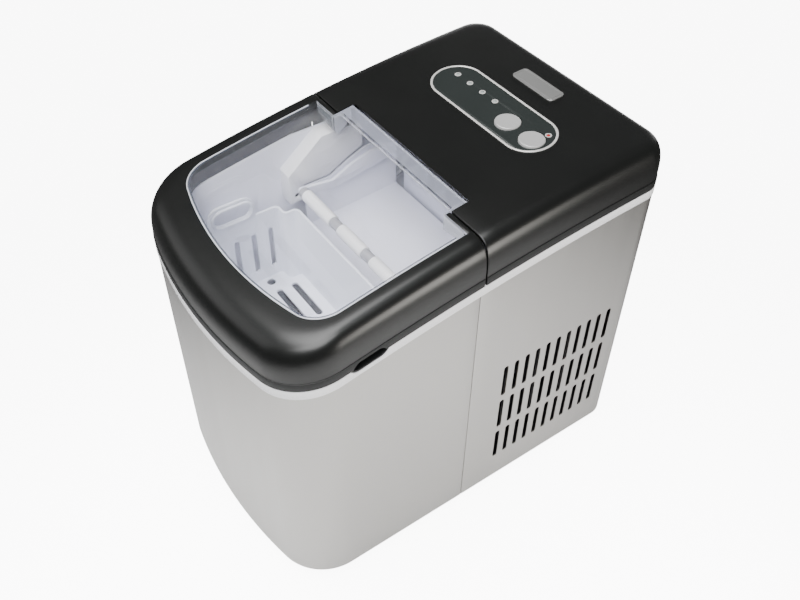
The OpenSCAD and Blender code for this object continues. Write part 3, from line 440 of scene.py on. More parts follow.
# One finish for each material slot of the record
MATERIALS = {
    "steel": surface("brushed_steel", (0.49, 0.48, 0.463), 0.33, metallic=1.0, grain=900,
                     stretch=(1, 1, 0.02), bump=0.12, mottle=0.05, rough_spread=0.05, broad=60),
    "screw": surface("screw_steel", (0.60, 0.60, 0.60), 0.3, metallic=1.0, grain=2500),
    "pin": surface("pin_steel", (0.72, 0.72, 0.72), 0.22, metallic=1.0, grain=2500),
    "white_trim": surface("white_trim", (0.95, 0.95, 0.97), 0.28, grain=1400, bump=0.05,
                          mottle=0.02),
    "black_cover": surface("black_satin", (0.0036, 0.0040, 0.0037), 0.32, grain=2600, bump=0.08,
                           mottle=0.12, rough_spread=0.04),
    "black_plastic": surface("black_textured", (0.020, 0.020, 0.022), 0.5, grain=1800, bump=0.3),
    "dark_plastic": surface("dark_grey_textured", (0.045, 0.047, 0.05), 0.5, grain=1800,
                            bump=0.3),
    "foot_rubber": surface("foot_rubber", (0.03, 0.03, 0.03), 0.75, grain=1500, bump=0.4),
    "gland_rubber": surface("gland_rubber", (0.025, 0.025, 0.027), 0.65, grain=1500, bump=0.35),
    "silver": surface("silver_paint", (0.66, 0.65, 0.63), 0.38, metallic=0.35, grain=5000,
                      mottle=0.1),
    "overlay": surface("panel_film", (0.011, 0.015, 0.014), 0.40, grain=3200, bump=0.12,
                       mottle=0.15),
    "badge": surface("badge_silver", (0.31, 0.31, 0.305), 0.36, metallic=0.6, grain=3000,
                     mottle=0.16),
    "button": surface("button_silver", (0.42, 0.42, 0.415), 0.42, metallic=0.25, grain=4200,
                      mottle=0.10),
    "lens_grey": surface("lens_grey", (0.30, 0.34, 0.33), 0.25, grain=3000),
    "lens_red": surface("lens_red", (0.35, 0.03, 0.03), 0.22, grain=3000),
    "lens_dark": surface("lens_dark", (0.02, 0.018, 0.025), 0.15, grain=3000),
    "board": surface("solder_resist", (0.03, 0.11, 0.05), 0.35, grain=700, mottle=0.25,
                     broad=160),
    "window": surface("clear_window", (0.90, 0.92, 1.0), 0.03, grain=300, bump=0.005,
                      mottle=0.03, rough_spread=0.01, alpha=0.09, transmission=0.9, ior=1.47,
                      broad=8),
    "tub": surface("tub_white", (0.86, 0.87, 0.99), 0.36, grain=1600, bump=0.10, mottle=0.025),
    "basket": surface("basket_white", (0.88, 0.90, 1.0), 0.34, grain=1600, bump=0.10,
                      mottle=0.025),
    "tray": surface("tray_white", (0.72, 0.74, 0.86), 0.32, grain=1600, bump=0.10, mottle=0.03),
    "sensor_white": surface("white_parts", (0.92, 0.92, 0.95), 0.32, grain=1600, bump=0.08,
                            mottle=0.015),
    "foam": surface("foam", (0.80, 0.72, 0.48), 0.85, grain=500, bump=0.8, mottle=0.15,
                    bump_mm=0.4),
    "motor_grey": surface("motor_grey", (0.42, 0.43, 0.45), 0.4, metallic=0.4, grain=1800,
                          bump=0.2),
    "evaporator": surface("nickel_plate", (0.70, 0.69, 0.66), 0.2, metallic=1.0, grain=1200,
                          mottle=0.08),
    "hose": surface("clear_hose", (0.74, 0.77, 0.80), 0.2, grain=600, alpha=0.75, bump=0.05),
    "black_metal": surface("black_enamel", (0.012, 0.012, 0.013), 0.22, grain=500, bump=0.15,
                           coat=0.4),
    # Near-black fins: painted shade for the dark inside of the vent slots
    "fins": surface("fin_painted_shade", (0.022, 0.022, 0.024), 0.5, grain=900, mottle=0.2),
    "copper": surface("copper", (0.62, 0.30, 0.16), 0.3, metallic=1.0, grain=400, mottle=0.16,
                      broad=40),
    "brass": surface("brass", (0.55, 0.42, 0.18), 0.3, metallic=1.0, grain=700, mottle=0.1),
}

# Second finishes of pieces that change along their length or at their edges; several are painted
# shade or painted highlight
LIP_BLACK = surface("black_lip", (0.007, 0.008, 0.008), 0.50, grain=2600, bump=0.10,
                    mottle=0.10, ior=1.36)
SLEEVE_WHITE = surface("sleeve_white", (0.97, 0.97, 0.99), 0.34, grain=1600, bump=0.10,
                       mottle=0.01)
# Painted shade: grey on the shovel's bar between the white sleeves
BAR_PAINTED_SHADE = surface("bar_painted_shade", (0.36, 0.36, 0.39), 0.45, grain=1500, mottle=0.04)
# Painted shade: a dark copy of the tub's white for the reservoir under the basket
TUB_PAINTED_SHADE = surface("tub_painted_shade", (0.05, 0.055, 0.08), 0.45, grain=1600, bump=0.10, mottle=0.04)
HAZE = surface("window_haze", (0.36, 0.38, 0.46), 0.35, grain=700, bump=0.05, mottle=0.05,
               alpha=0.48)
# Painted shade: a dark grey copy of the clear finish for the window's low left faces that face
# forward or back
CHEEK_PAINTED_SHADE = surface("cheek_painted_shade", (0.20, 0.22, 0.24), 0.10, grain=500, bump=0.02, mottle=0.15,
                     alpha=0.62)
# Painted highlight: a whiter, less clear copy of the window finish for the pane's edge-on faces
CLEAR_EDGE_HIGHLIGHT = surface("clear_edge_painted_highlight", (0.86, 0.88, 0.96), 0.12, grain=500, bump=0.03, mottle=0.05,
                     alpha=0.75, transmission=0.35, ior=1.47)
# Painted shade and painted highlight: a dark strip and a bright bead along the window's edge
RIM_PAINTED_SHADE = surface("window_shade_strip", (0.10, 0.11, 0.15), 0.3, grain=800, bump=0.03, mottle=0.1,
                   alpha=0.6)
RIM_PAINTED_HIGHLIGHT = surface("window_rim_highlight", (0.72, 0.74, 0.80), 0.16, grain=800, bump=0.03, mottle=0.05,
                    alpha=0.85)

for node_name, node_obj in frame["nodes"].items():
    node_obj.data.materials.clear()
    node_obj.data.materials.append(MATERIALS[SLOT_OF[node_name]])
    finish_mesh(node_obj)


# ---------- steel shells ----------

# Insets of the sheet's outer face, hem and inner face; the first two roll in at the ends
SHEET_INSETS = (0.5, 0.62, 1.5)
ROLLED = 2
SHEET_TOP_GAP, HEM_START, HEM_TURN, HEM_SHARE = 0.1, 0.7, 0.2, 0.35

VENT_TOPS, VENT_COUNT = (170.0, 126.0, 82.0), 11
VENT_START, VENT_PITCH, VENT_HALF_L, VENT_HALF_W = 30.5, 11.6, 18.5, 2.4
VENT_STEPS = 8
VENT_CUT = (90, 140)
BACK_OPENING = rounded_rect(0.0, 131.0, 160.0, 194, 4)
BACK_CUT = (160, 190)


def steel_profile(outer, hem, inner):
    """The steel sheet's closed section at one station, hemmed at the foot."""
    top = trim_z(outer[1]) - SHEET_TOP_GAP
    return [
        (*inner, top), (*outer, top), (*outer, STEEL_Z + HEM_START), (*hem, STEEL_Z + HEM_TURN),
        (*lerp2(hem, inner, HEM_SHARE), STEEL_Z), (*inner, STEEL_Z),
    ]


def fold_ends(points):
    """Moves the first and last points of an outline inwards, so that its ends roll in."""
    out = list(points)
    for k, f in enumerate(EDGE_FOLDS):
        for idx in (k, len(points) - 1 - k):
            x, y = out[idx]
            out[idx] = (x - math.copysign(f, x), y)
    return out


def steel_sheet(name, outline_at):
    """A shell's sheet; outline_at gives its open outline for an inset."""
    outlines = [outline_at(inset) for inset in SHEET_INSETS]
    outlines[:ROLLED] = [fold_ends(o) for o in outlines[:ROLLED]]
    return loft(name, [steel_profile(*station) for station in zip(*outlines)])


def front_shell():
    ys = edge_stations(SEAM - SEAM_GAP, -1)
    settle(steel_sheet("front_shell_sheet", lambda inset: body_front(inset, ys)), "front_shell")


def rear_shell():
    ys = edge_stations(SEAM + SEAM_GAP, 1)

    def outline_at(inset):
        right = body_rear(inset, ys)
        return right + mirrored(right)

    shell = steel_sheet("rear_shell_sheet", outline_at)
    near, far = VENT_CUT
    cutters = []
    for top in VENT_TOPS:
        for i in range(VENT_COUNT):
            shape = stadium(VENT_START + i * VENT_PITCH, top - VENT_HALF_L, VENT_HALF_L,
                            VENT_HALF_W, VENT_STEPS, upright=True)
            cutters.append(prism("slot", shape, near, far, "x"))
            cutters.append(prism("slot", shape, -far, -near, "x"))
    cutters.append(prism("opening", BACK_OPENING, *BACK_CUT, "y"))
    boolean(shell, join(cutters))
    settle(shell, "rear_shell")


# ---------- trim ring ----------

# The ring's section as (inset from the body's outline, height above the ring's underside)
TRIM_PROFILE = (
    (0.7, 0.0), (0.2, 0.2), (0.0, 0.8), (0.0, TRIM_H - 0.9), (0.25, TRIM_H - 0.25),
    (0.9, TRIM_H), (9.5, TRIM_H), (9.5, 3.2), (13.0, 3.2), (13.0, 0.0),
)
SOFT_ANGLE = 40

# The finger pull on the right side: its ends, their slope, and how far down and in it goes
PULL_Y, PULL_SLOPE, PULL_DOWN, PULL_DEPTH = (-119.0, -87.0), 6.0, 4.0, 7.0
PULL_STEPS, PULL_MOUTH = 8, 0.3

# The pull's housing in the lid and its pocket, each as (inset, rise), then where they lie in x
PULL_HOUSING, PULL_POCKET = (0.6, LIP_H - 0.8), (1.9, LIP_H - 2.2)
PULL_BACK, PULL_WALL, PULL_FACE_IN = HALF_W - PULL_DEPTH + 0.6, 1.3, 0.3
CUT_PAST = 2


def pull_shape(inset, rise):
    """The finger pull's outline seen from the side, as (y, z), drawn in by inset all round."""
    front, rear = PULL_Y[0] + inset, PULL_Y[1] - inset
    steps = [i / PULL_STEPS for i in range(PULL_STEPS + 1)]
    ends = [(front + PULL_SLOPE * w, math.sin(w * math.pi / 2)) for w in steps]
    ends += [(rear - PULL_SLOPE * w, math.sin(w * math.pi / 2)) for w in reversed(steps)]
    below = [(y, trim_z(y) + TRIM_H - (PULL_DOWN - inset) * w) for y, w in ends]
    above = [(y, trim_z(y) + TRIM_H + PULL_MOUTH + (rise - PULL_MOUTH) * w)
             for y, w in reversed(ends)]
    return below + above


def whole_outline(inset):
    right = body_rear(inset, [0.0])[1:]
    return body_front(inset, [0.0]) + right + mirrored(right)


def trim_ring():
    outlines = [whole_outline(inset) for inset, _ in TRIM_PROFILE]
    rows = []
    for station in zip(*outlines):
        rows.append([(*p, trim_z(p[1]) + up) for p, (_, up) in zip(station, TRIM_PROFILE)])
    ring = loft("trim_ring_moulding", rows, closed_rows=True)
    notch = prism("notch", pull_shape(0, LIP_H), HALF_W - PULL_DEPTH, HALF_W + CUT_PAST, "x")
    settle(boolean(ring, notch), "trim_ring", angle=SOFT_ANGLE)


# ---------- black covers ----------

# The shoulder is a superellipse of this power between the crease and the flat top
SHOULDER_POWER = 3.4
SHOULDER_STEPS = 28

# The lip's outer face, from its lower edge to the crease: insets and heights
LIP_INSETS = (0.55, 0.15, 0.0, 0.0, 0.05, 0.25)
LIP_RISES = (0.0, 0.15, 0.55, LIP_H - 0.5, LIP_H - 0.12, LIP_H)
LIP_LINE = 0.05
FOOT_INSET, UNDER_DROP = 0.5, 0.6
WINDOW_SEAT, WINDOW_ROUND = 0.35, 0.35

# The bars that close the lid frame at the rear, beside the hinge cheeks
BAR_X, BAR_FRONT, BAR_FOOT, BAR_TOP_GAP = (75.4, 101.2), -7.0, 309.7, 0.05

# The rear cover's opening for the panel and the notch for the window's tongue
PANEL_Y, PANEL_L, PANEL_W = 96.2, 67.5, 23.0
PANEL_LEDGE, PANEL_STEPS = 1.6, 24
TONGUE_REAR, TONGUE_W, TONGUE_LONG, TONGUE_R = 14.4, 151.2, 60, 2.5
PANEL_CUT, TONGUE_CUT = (300, 340), (305, 340)


def squared(value):
    return max(value, 0.0) ** (2 / SHOULDER_POWER)


# The shoulder's run as (share of the way inwards, share of the way up)
SHOULDER = [
    (1 - squared(math.cos(a)), squared(math.sin(a)))
    for a in (math.pi / 2 * i / SHOULDER_STEPS for i in range(SHOULDER_STEPS + 1))
]


def shoulder_chain(foot, edge, drop, low_drop):
    """The shoulder at one station, lowered by drop at its top and by low_drop at its foot."""
    out = []
    for inward, up in SHOULDER:
        p = lerp2(foot, edge, inward)
        low = lip_z(p[1]) + LIP_H - low_drop
        out.append((*p, low + (crown_z(p[1]) - drop - low) * up))
    return out


def lip_chain(station, fold):
    """The upright lip from its lower edge to the crease, rounded at both."""
    return [(x - math.copysign(fold, x), y, lip_z(y) + up)
            for (x, y), up in zip(station, LIP_RISES)]


def lip_finish(obj):
    """Gives the lip below the crease its own duller finish."""
    return paint_faces(obj, LIP_BLACK, lambda at, _: at.z < lip_z(at.y) + LIP_H - LIP_LINE)


def fold_at(k):
    return EDGE_FOLDS[k] if k < len(EDGE_FOLDS) else 0.0


def lid_bars():
    bars = []
    for side in (-1, 1):
        x0, x1 = sorted(side * x for x in BAR_X)
        shape = [(x0, BAR_FRONT), (x1, BAR_FRONT), (x1, LID_REAR), (x0, LID_REAR)]
        bar = loft("bar", [
            [(x, y, BAR_FOOT) for x, y in shape],
            [(x, y, crown_z(y) - BAR_TOP_GAP) for x, y in shape],
        ])
        bars.append(bevel(bar, width=0.5))
    return bars


def lid_frame():
    ys = edge_stations(LID_REAR, -1)

    def window_edge(outset):
        return bowed(WINDOW_HALF + outset, WINDOW_R + outset, WINDOW_BOW + outset,
                     WINDOW_FRONT - outset, ys)

    lips = list(zip(*(body_front(i, ys) for i in LIP_INSETS)))
    foot, inner = body_front(FOOT_INSET, ys), body_front(COVER_T, ys)
    edge, edge_mid, edge_in = (window_edge(out) for out in (WINDOW_SEAT, 0.0, COVER_T))
    rows = []
    count = len(foot)
    for i in range(count):
        fold = fold_at(min(i, count - 1 - i))
        outer = lip_chain(lips[i], fold) + shoulder_chain(foot[i], edge[i], fold, 0.0)
        e, n = edge_mid[i], edge_in[i]
        skirt = [(*e, crown_z(e[1]) - WINDOW_ROUND - fold), (*e, crown_z(e[1]) - SKIRT),
                 (*n, crown_z(n[1]) - SKIRT)]
        under = list(reversed(shoulder_chain(inner[i], n, COVER_T, UNDER_DROP)))
        under.append((*inner[i], lip_z(inner[i][1])))
        rows.append(outer + skirt + under)
    cover = loft("lid_frame_moulding", rows)
    bars = lid_bars()
    housing = prism("pull", pull_shape(*PULL_HOUSING), PULL_BACK, HALF_W - PULL_FACE_IN, "x")
    pocket = prism("pocket", pull_shape(*PULL_POCKET), PULL_BACK + PULL_WALL,
                   HALF_W + CUT_PAST, "x")
    boolean(cover, housing, "UNION")
    boolean(cover, pocket)
    join([cover, *bars])
    lip_finish(settle(cover, "lid_frame", angle=SOFT_ANGLE))


def rear_cover():
    ys = edge_stations(COVER_FRONT, 1)
    lips = list(zip(*(body_rear(i, ys) for i in LIP_INSETS)))
    foot, inner = body_rear(FOOT_INSET, ys), body_rear(COVER_T, ys)
    edge = rear_points(WINDOW_HALF, PLATEAU_R, PLATEAU_REAR, ys)
    outer_rows, inner_rows = [], []
    for i in range(len(foot)):
        fold = fold_at(i)
        right = lip_chain(lips[i], fold) + shoulder_chain(foot[i], edge[i], fold, 0.0)
        outer_rows.append(right + [(-x, y, z) for x, y, z in reversed(right)])
        under = [(*inner[i], lip_z(inner[i][1]))]
        under += shoulder_chain(inner[i], edge[i], COVER_T, UNDER_DROP)
        inner_rows.append(under + [(-x, y, z) for x, y, z in reversed(under)])
    bm = bmesh.new()
    a = grid(bm, outer_rows, closed_loop=False)
    b = grid(bm, inner_rows, closed_loop=False)
    # The last row is the section at the corners' ends; its halves join straight across the back
    for last in (a[-1], b[-1]):
        n = len(last)
        for j in range(n // 2 - 1):
            bm.faces.new((last[j], last[j + 1], last[n - 2 - j], last[n - 1 - j]))
    for ra, rb, sa, sb in zip(a, a[1:], b, b[1:]):
        bm.faces.new((ra[0], rb[0], sb[0], sa[0]))
        bm.faces.new((ra[-1], rb[-1], sb[-1], sa[-1]))
    bm.faces.new((a[-1][0], a[-1][-1], b[-1][-1], b[-1][0]))
    bm.faces.new(a[0] + list(reversed(b[0])))
    cover = new_object("rear_cover_moulding", bm)
    hole = stadium(0, PANEL_Y, PANEL_L - PANEL_LEDGE, PANEL_W - PANEL_LEDGE, PANEL_STEPS)
    notch = rounded_rect(0, TONGUE_REAR - TONGUE_LONG / 2, TONGUE_W, TONGUE_LONG, TONGUE_R)
    boolean(cover, join([prism("hole", hole, *PANEL_CUT), prism("notch", notch, *TONGUE_CUT)]))
    lip_finish(settle(cover, "rear_cover", angle=SOFT_ANGLE))


front_shell()
rear_shell()
trim_ring()
lid_frame()
rear_cover()


# ---------- control panel ----------

# Sections swept round a path as (outward, up)
BEZEL_PROFILE = ((-1.0, 0.02), (1.0, 0.02), (0.95, 0.45), (0.55, 0.72), (-0.55, 0.72),
                 (-0.95, 0.45))
PRINT_PROFILE = ((-0.55, 0.36), (0.55, 0.36), (0.5, 0.47), (-0.5, 0.47))
BEZEL_STEPS = 28

# A key's stem and cap; the cap's rounded edge as (inward, down), and how far its top is dished
# halfway in and at the centre
KEY_STEM_R, KEY_CAP_H, KEY_STEPS = 3, 5, 64
KEY_EDGE = ((0, 0.9), (0.25, 0.35), (0.8, 0), (2.2, 0.05))
KEY_DISH = (0.3, 0.38)

# Each lens node, the name of its piece, and how many lenses it has; then a lens's top as
# (share of its radius, height above the crown)
LENSES = (("indicator_lenses", "indicator_lens_domes", 4),
          ("power_indicator", "power_lens_dome", 1))
LENS_R, LENS_DEEP, LENS_STEPS = 1.5, 7.5, 24
LENS_DOME = ((1.0, 0.25), (0.7, 0.4), (0.0, 0.45))

# Radius, gap in degrees and steps of the ring printed round each lens
PRINT_RING = (2.15, 15, 23)

# The badge's face as (inset, up): a raised rim round a blank field
BADGE_FACE = ((0, 0.05), (0, 0.75), (0.25, 1.0), (1.6, 1.0), (1.75, 0.72), (2.15, 0.72),
              (2.3, 1.0))
BADGE_R, BADGE_R_FALL = 4, 0.8


def panel():
    bezel = stadium(0, PANEL_Y, PANEL_L - 1, PANEL_W - 1, BEZEL_STEPS)
    ring = loft("panel_bezel_ring", swept(outline_path(bezel, crown_z), BEZEL_PROFILE),
                closed_rows=True)
    settle(ring, "panel_bezel")
    film = cad_copy("panel_overlay", "panel_overlay_film")
    settle(bevel(film, width=0.12, segments=1), "panel_overlay")


def button(node):
    """A turned cap with a dished top on its stem."""
    lo, hi = extent(node)
    r, top = (hi.x - lo.x) / 2, hi.z
    foot = top - KEY_CAP_H
    profile = [(0, lo.z), (KEY_STEM_R, lo.z), (KEY_STEM_R, foot), (r, foot)]
    profile += [(r - inward, top - down) for inward, down in KEY_EDGE]
    profile += [(r * 0.5, top - KEY_DISH[0]), (0, top - KEY_DISH[1])]
    centre = (lo + hi) / 2
    settle(lathe(node + "_cap", profile, centre.x, centre.y, KEY_STEPS), node)


def lights():
    """Domed lenses, each with a printed ring round it."""
    r = LENS_R
    for node, name, count in LENSES:
        domes, rings = [], []
        lo, hi = extent(node)
        y = (lo.y + hi.y) / 2
        z = crown_z(y)
        profile = [(0, z - LENS_DEEP), (r, z - LENS_DEEP)]
        profile += [(r * share, z + up) for share, up in LENS_DOME]
        for i in range(count):
            x = lerp(lo.x + r, hi.x - r, i / max(count - 1, 1))
            domes.append(lathe("dome", profile, x, y, LENS_STEPS))
            path = outline_path(circle(x, y, *PRINT_RING), crown_z)
            rings.append(loft("ring", swept(path, PRINT_PROFILE), closed_rows=True))
        settle(join(domes), node).name = name
        ring = join(rings)
        ring.name = "printed_rings_" + node
        settle(ring, "panel_bezel", replaces=False)


def badge():
    lo, hi = extent("badge_plate")
    cx, cy = (lo.x + hi.x) / 2, (lo.y + hi.y) / 2
    w, h = hi.x - lo.x, hi.y - lo.y
    rows = []
    for inset, up in BADGE_FACE:
        shape = rounded_rect(cx, cy, w - 2 * inset, h - 2 * inset, BADGE_R - inset * BADGE_R_FALL)
        rows.append([(x, y, crown_z(y) + up) for x, y in shape])
    settle(loft("badge_plate_blank", rows), "badge_plate")


panel()
button("select_button")
button("power_button")
lights()
badge()


# ---------- window ----------

# Behind this line the pane is hazy; a rib stands under it, as (y, depth below the crown)
HAZE_FRONT = 0.5
RIB = ((HAZE_FRONT - 1.2, 2.4), (HAZE_FRONT - 1.2, 3.6), (HAZE_FRONT, 3.6), (HAZE_FRONT, 2.4))
RIB_HALF = 73

# The clear hinge cheeks, seen from the side, and the sections of the bars that run out from them
CHEEK_X = (73.4, 75.0)
CHEEK = ((-7.1, 318.6), (-7.1, 304.0), (-3.5, 300.5), (2.0, 304.5), (9.5, 312.0), (9.5, 319.4))
CHEEK_BAR = (
    (75.0, ((-8.5, 305.0), (-7.1, 305.0), (-7.1, 318.5), (-8.5, 318.5))),
    (97.5, ((-8.5, 309.0), (-7.1, 309.0), (-7.1, 318.5), (-8.5, 318.5))),
)
# Below this height and left of this x, faces that face forward or back get painted shade
SHADE_TOP, SHADE_X = 315.5, -70
EDGE_ON, FACING = 0.85, 0.5
PANE_ANGLE = 30

# Sections along the pane's edge as (outward, up): a bead for the painted highlight and a strip
# inside it for the painted shade
BEAD = ((-0.85, -0.3), (-0.7, 0.14), (-0.35, 0.26), (0.0, 0.14), (0.15, -0.3))
SHADE_STRIP = ((-2.3, -0.2), (-2.2, 0.05), (-1.25, 0.05), (-1.15, -0.2))
RIM_REAR = -8.0


def window():
    """The clear pane with its rib, hinge cheeks and hazy rear strip, with painted highlight on
    its edge-on faces and painted shade on its low left faces.
    """
    pane = bevel(cad_copy("lid_window", "lid_window_pane"), width=0.7)
    cut_across(pane, HAZE_FRONT, "y")
    rib = [(y, crown_z(y) - down) for y, down in RIB]
    parts = [bevel(prism("rib", rib, -RIB_HALF, RIB_HALF, "x"), width=0.3)]
    for side in (-1, 1):
        x0, x1 = sorted(side * x for x in CHEEK_X)
        parts.append(bevel(prism("cheek", CHEEK, x0, x1, "x"), width=0.4))
        bar = [[(side * x, y, z) for y, z in section] for x, section in CHEEK_BAR]
        parts.append(bevel(loft("cheek", bar), width=0.35))
    pane = settle(join([pane, *parts]), "lid_window", angle=PANE_ANGLE)

    def shaded(at, normal):
        return at.z < SHADE_TOP and at.x < SHADE_X and abs(normal.y) > FACING

    def edge_on(at, normal):
        return abs(normal.z) < EDGE_ON and not shaded(at, normal)

    def hazy(at, normal):
        return at.y > HAZE_FRONT and normal.z >= EDGE_ON and not shaded(at, normal)

    # Edge-on faces get painted highlight and the low left faces painted shade; the rear strip is
    # hazy
    for finish, chosen in ((CLEAR_EDGE_HIGHLIGHT, edge_on), (HAZE, hazy), (CHEEK_PAINTED_SHADE, shaded)):
        paint_faces(pane, finish, chosen)


def window_rim_highlight():
    """A bead along the pane's edge with a painted highlight, and a strip just inside it with
    painted shade.
    """
    edge = bowed(WINDOW_HALF, WINDOW_R, WINDOW_BOW, WINDOW_FRONT, [RIM_REAR])
    path = outline_path(edge, crown_z)[1:-1]
    for name, material, profile in (("window_highlight_bead", RIM_PAINTED_HIGHLIGHT, BEAD),
                                    ("window_shade_strip", RIM_PAINTED_SHADE, SHADE_STRIP)):
        settle(loft(name, swept(path, profile)), "lid_window", material, replaces=False)


window()
window_rim_highlight()


# ---------- inside ----------

# CAD nodes whose edges only need rounding, and by how much
ROUNDED = (
    ("inner_tub", 1.2), ("ice_sensor_left", 2.2), ("ice_sensor_right", 2.2), ("ice_chute", 0.5),
    ("ice_shovel", 0.6), ("water_tray", 0.7), ("hinge_bracket_left", 0.6),
    ("hinge_bracket_right", 0.6), ("tray_motor", 1.2), ("tray_bearing", 0.8), ("evaporator", 0.8),
    ("evaporator_cover", 0.8), ("back_panel", 0.5), ("base_pan", 0.8), ("feet", 1.2),
    ("drain_cap", 0.8), ("cord_gland", 0.5), ("fan_shroud", 0.8), ("fan_blade", 0.5),
    ("fan_motor", 1.0), ("compressor", 3.0), ("water_pump", 1.0), ("float_sensor", 0.8),
    ("control_board", 0.2), ("tact_switches", 0.2), ("condenser", 0.15), ("main_board", 0.2),
    ("solenoid_valve", 0.6), ("filter_drier", 2.0), ("drain_spout", 0.5),
    ("back_panel_screws", 0.15), ("base_screws", 0.2), ("compressor_grommets", 0.5),
    ("insulation_foam", 1.0),
)

# The basket's upright corners as (x, y, radius) on its outer face, and on its inner one
BASKET_CORNERS = ((90.0, -58.0, 5.0), (77.0, -58.0, 3.0), (77.0, -46.0, 5.0))
BASKET_INNER_R = (3.0, 5.0, 3.0)
BASKET_T = 2.0
UPRIGHT_LEAST, CORNER_NEAR, CORNER_SEGMENTS = 30, 0.4, 5

# The raised rim of the basket's hand holes: its loop, and its section as (outward, inward)
HOLD_Y, HOLD_Z, HOLD_HALF_L, HOLD_HALF_W, HOLD_STEPS = -101, 249.5, 18.5, 8.6, 14
HOLD_IN = 2.2
HOLD_PROFILE = ((-1.2, -0.4), (1.2, -0.4), (1.2, 1.0), (0.6, 1.7), (-0.6, 1.7), (-1.2, 1.0))

# The shovel's bar, and the white sleeves on it
BAR_Y, BAR_Z, BAR_NEAR, BAR_HALF = -39.0, 254.0, 5, 72
SLEEVE_SPANS = ((-70.5, -29), (-17, 17), (29, 70.5))

# Radius, gap in degrees and steps of a sleeve's outside and its bore
SLEEVE_RING, BORE_RING = (5.5, 7.5, 48), (4.45, 15, 24)

# The tub gets painted shade below this height, under the basket
RESERVOIR_TOP = 154.0


def round_uprights(obj, corners):
    """Rounds the long upright edges that stand at the given corners, left and right."""
    bm = bmesh.new()
    bm.from_mesh(obj.data)
    for x, y, radius in corners:
        edges = []
        for e in bm.edges:
            a, b = (v.co / MM for v in e.verts)
            near = all(math.hypot(abs(p.x) - x, p.y - y) < CORNER_NEAR for p in (a, b))
            if abs(a.z - b.z) > UPRIGHT_LEAST and near:
                edges.append(e)
        bmesh.ops.bevel(bm, geom=edges, offset=radius * MM, segments=CORNER_SEGMENTS,
                        profile=0.5, affect="EDGES")
    bm.to_mesh(obj.data)
    bm.free()
    return obj


def hold_rim(x, inward):
    """The rim round a hand hole in the wall at x; inward points into the basket."""
    loop = stadium(HOLD_Y, HOLD_Z, HOLD_HALF_L, HOLD_HALF_W, HOLD_STEPS)
    rows = []
    for i, (y, z) in enumerate(loop):
        a, b = loop[i - 1], loop[(i + 1) % len(loop)]
        along = Vector((0, b[0] - a[0], b[1] - a[1])).normalized()
        out = Vector((0, along.z, -along.y))
        rows.append([Vector((x, y, z)) + out * u + inward * v for u, v in HOLD_PROFILE])
    return loft("rim", rows, closed_rows=True)


def basket():
    t = BASKET_T
    inner = [(x - t, y - t, r) for (x, y, _), r in zip(BASKET_CORNERS, BASKET_INNER_R)]
    body = cad_copy("ice_basket", "ice_basket_moulding")
    bevel(round_uprights(body, (*BASKET_CORNERS, *inner)), width=0.5)
    wall_x = extent("ice_basket")[1].x - HOLD_IN
    rims = [hold_rim(side * wall_x, Vector((-side, 0, 0))) for side in (-1, 1)]
    settle(join([body, *rims]), "ice_basket")


def sleeves():
    """White roller sleeves on the shovel's bar, whose bare stretches between them are painted
    grey as shade.
    """
    outer, bore = (circle(BAR_Y, BAR_Z, *ring) for ring in (SLEEVE_RING, BORE_RING))
    parts = []
    for x0, x1 in SLEEVE_SPANS:
        parts.append(bevel(prism("sleeve", outer, x0, x1, "x"), width=0.5, angle=60))
        boolean(parts[-1], prism("bore", bore, x0 - 1, x1 + 1, "x"))
    settle(join(parts), "shovel_sleeves", SLEEVE_WHITE)

    def on_bar(at, _):
        return abs(at.x) < BAR_HALF and math.hypot(at.y - BAR_Y, at.z - BAR_Z) < BAR_NEAR

    # The bar's faces near its axis get the painted shade
    paint_faces(bpy.data.objects["ice_shovel_moulding"], BAR_PAINTED_SHADE, on_bar)


def shade_reservoir():
    """The tub below the basket gets a dark finish as painted shade."""
    tub = cut_across(bpy.data.objects["inner_tub_moulding"], RESERVOIR_TOP, "z")
    paint_faces(tub, TUB_PAINTED_SHADE, lambda at, _: at.z < RESERVOIR_TOP)


for inner_node, edge_width in ROUNDED:
    settle(bevel(cad_copy(inner_node, inner_node + "_moulding"), edge_width), inner_node)
basket()
sleeves()
shade_reservoir()


# ---------- floor, light, camera (in metres) ----------

FLOOR_HALF_MM = 6000.0
# Strength of the painted glow that the floor gives off to camera rays only
FLOOR_CAMERA_GLOW = 9.0

# A painted pool of light: the paper is pale within the near distance of this point and nearly
# black beyond the far one
LIGHT_POOL_CENTRE = (0.25, -0.15, 0.0)
LIGHT_POOL_NEAR, LIGHT_POOL_FAR, LIGHT_POOL_FAR_TONE = 0.22, 0.74, 0.06

WORLD_STRENGTH = 0.12
WHITE, WARM = (1, 1, 1), (1.0, 0.96, 0.90)

# Each softbox: name, place, target, size, watts, colour
SOFTBOXES = (
    ("key", (0.9, -1.2, 2.4), (0, 0, 0.2), (1.6, 1.6), 88, WHITE),
    ("overhead", (-0.3, -0.5, 2.3), (0, -0.02, 0.25), (1.2, 1.4), 56, WHITE),
    ("right_box", (1.25, 0.38, 0.27), (0.12, -0.05, 0.3), (0.50, 0.62), 12, WARM),
    ("left_front", (-1.1, -1.5, 1.0), (0, -0.1, 0.28), (1.5, 1.1), 7, WHITE),
    ("backdrop", (-1.9, 2.6, 0.55), (0, -0.02, 0.25), (3.0, 1.0), 22, WHITE),
)

CAMERA_AT = (0.4695, -0.3299, 0.7466)
CAMERA_AZIMUTH, CAMERA_ELEVATION, CAMERA_ROLL = (math.radians(a) for a in (54.25, 45.38, 0.82))
SENSOR_MM, LENS_MM = 36, 41.58


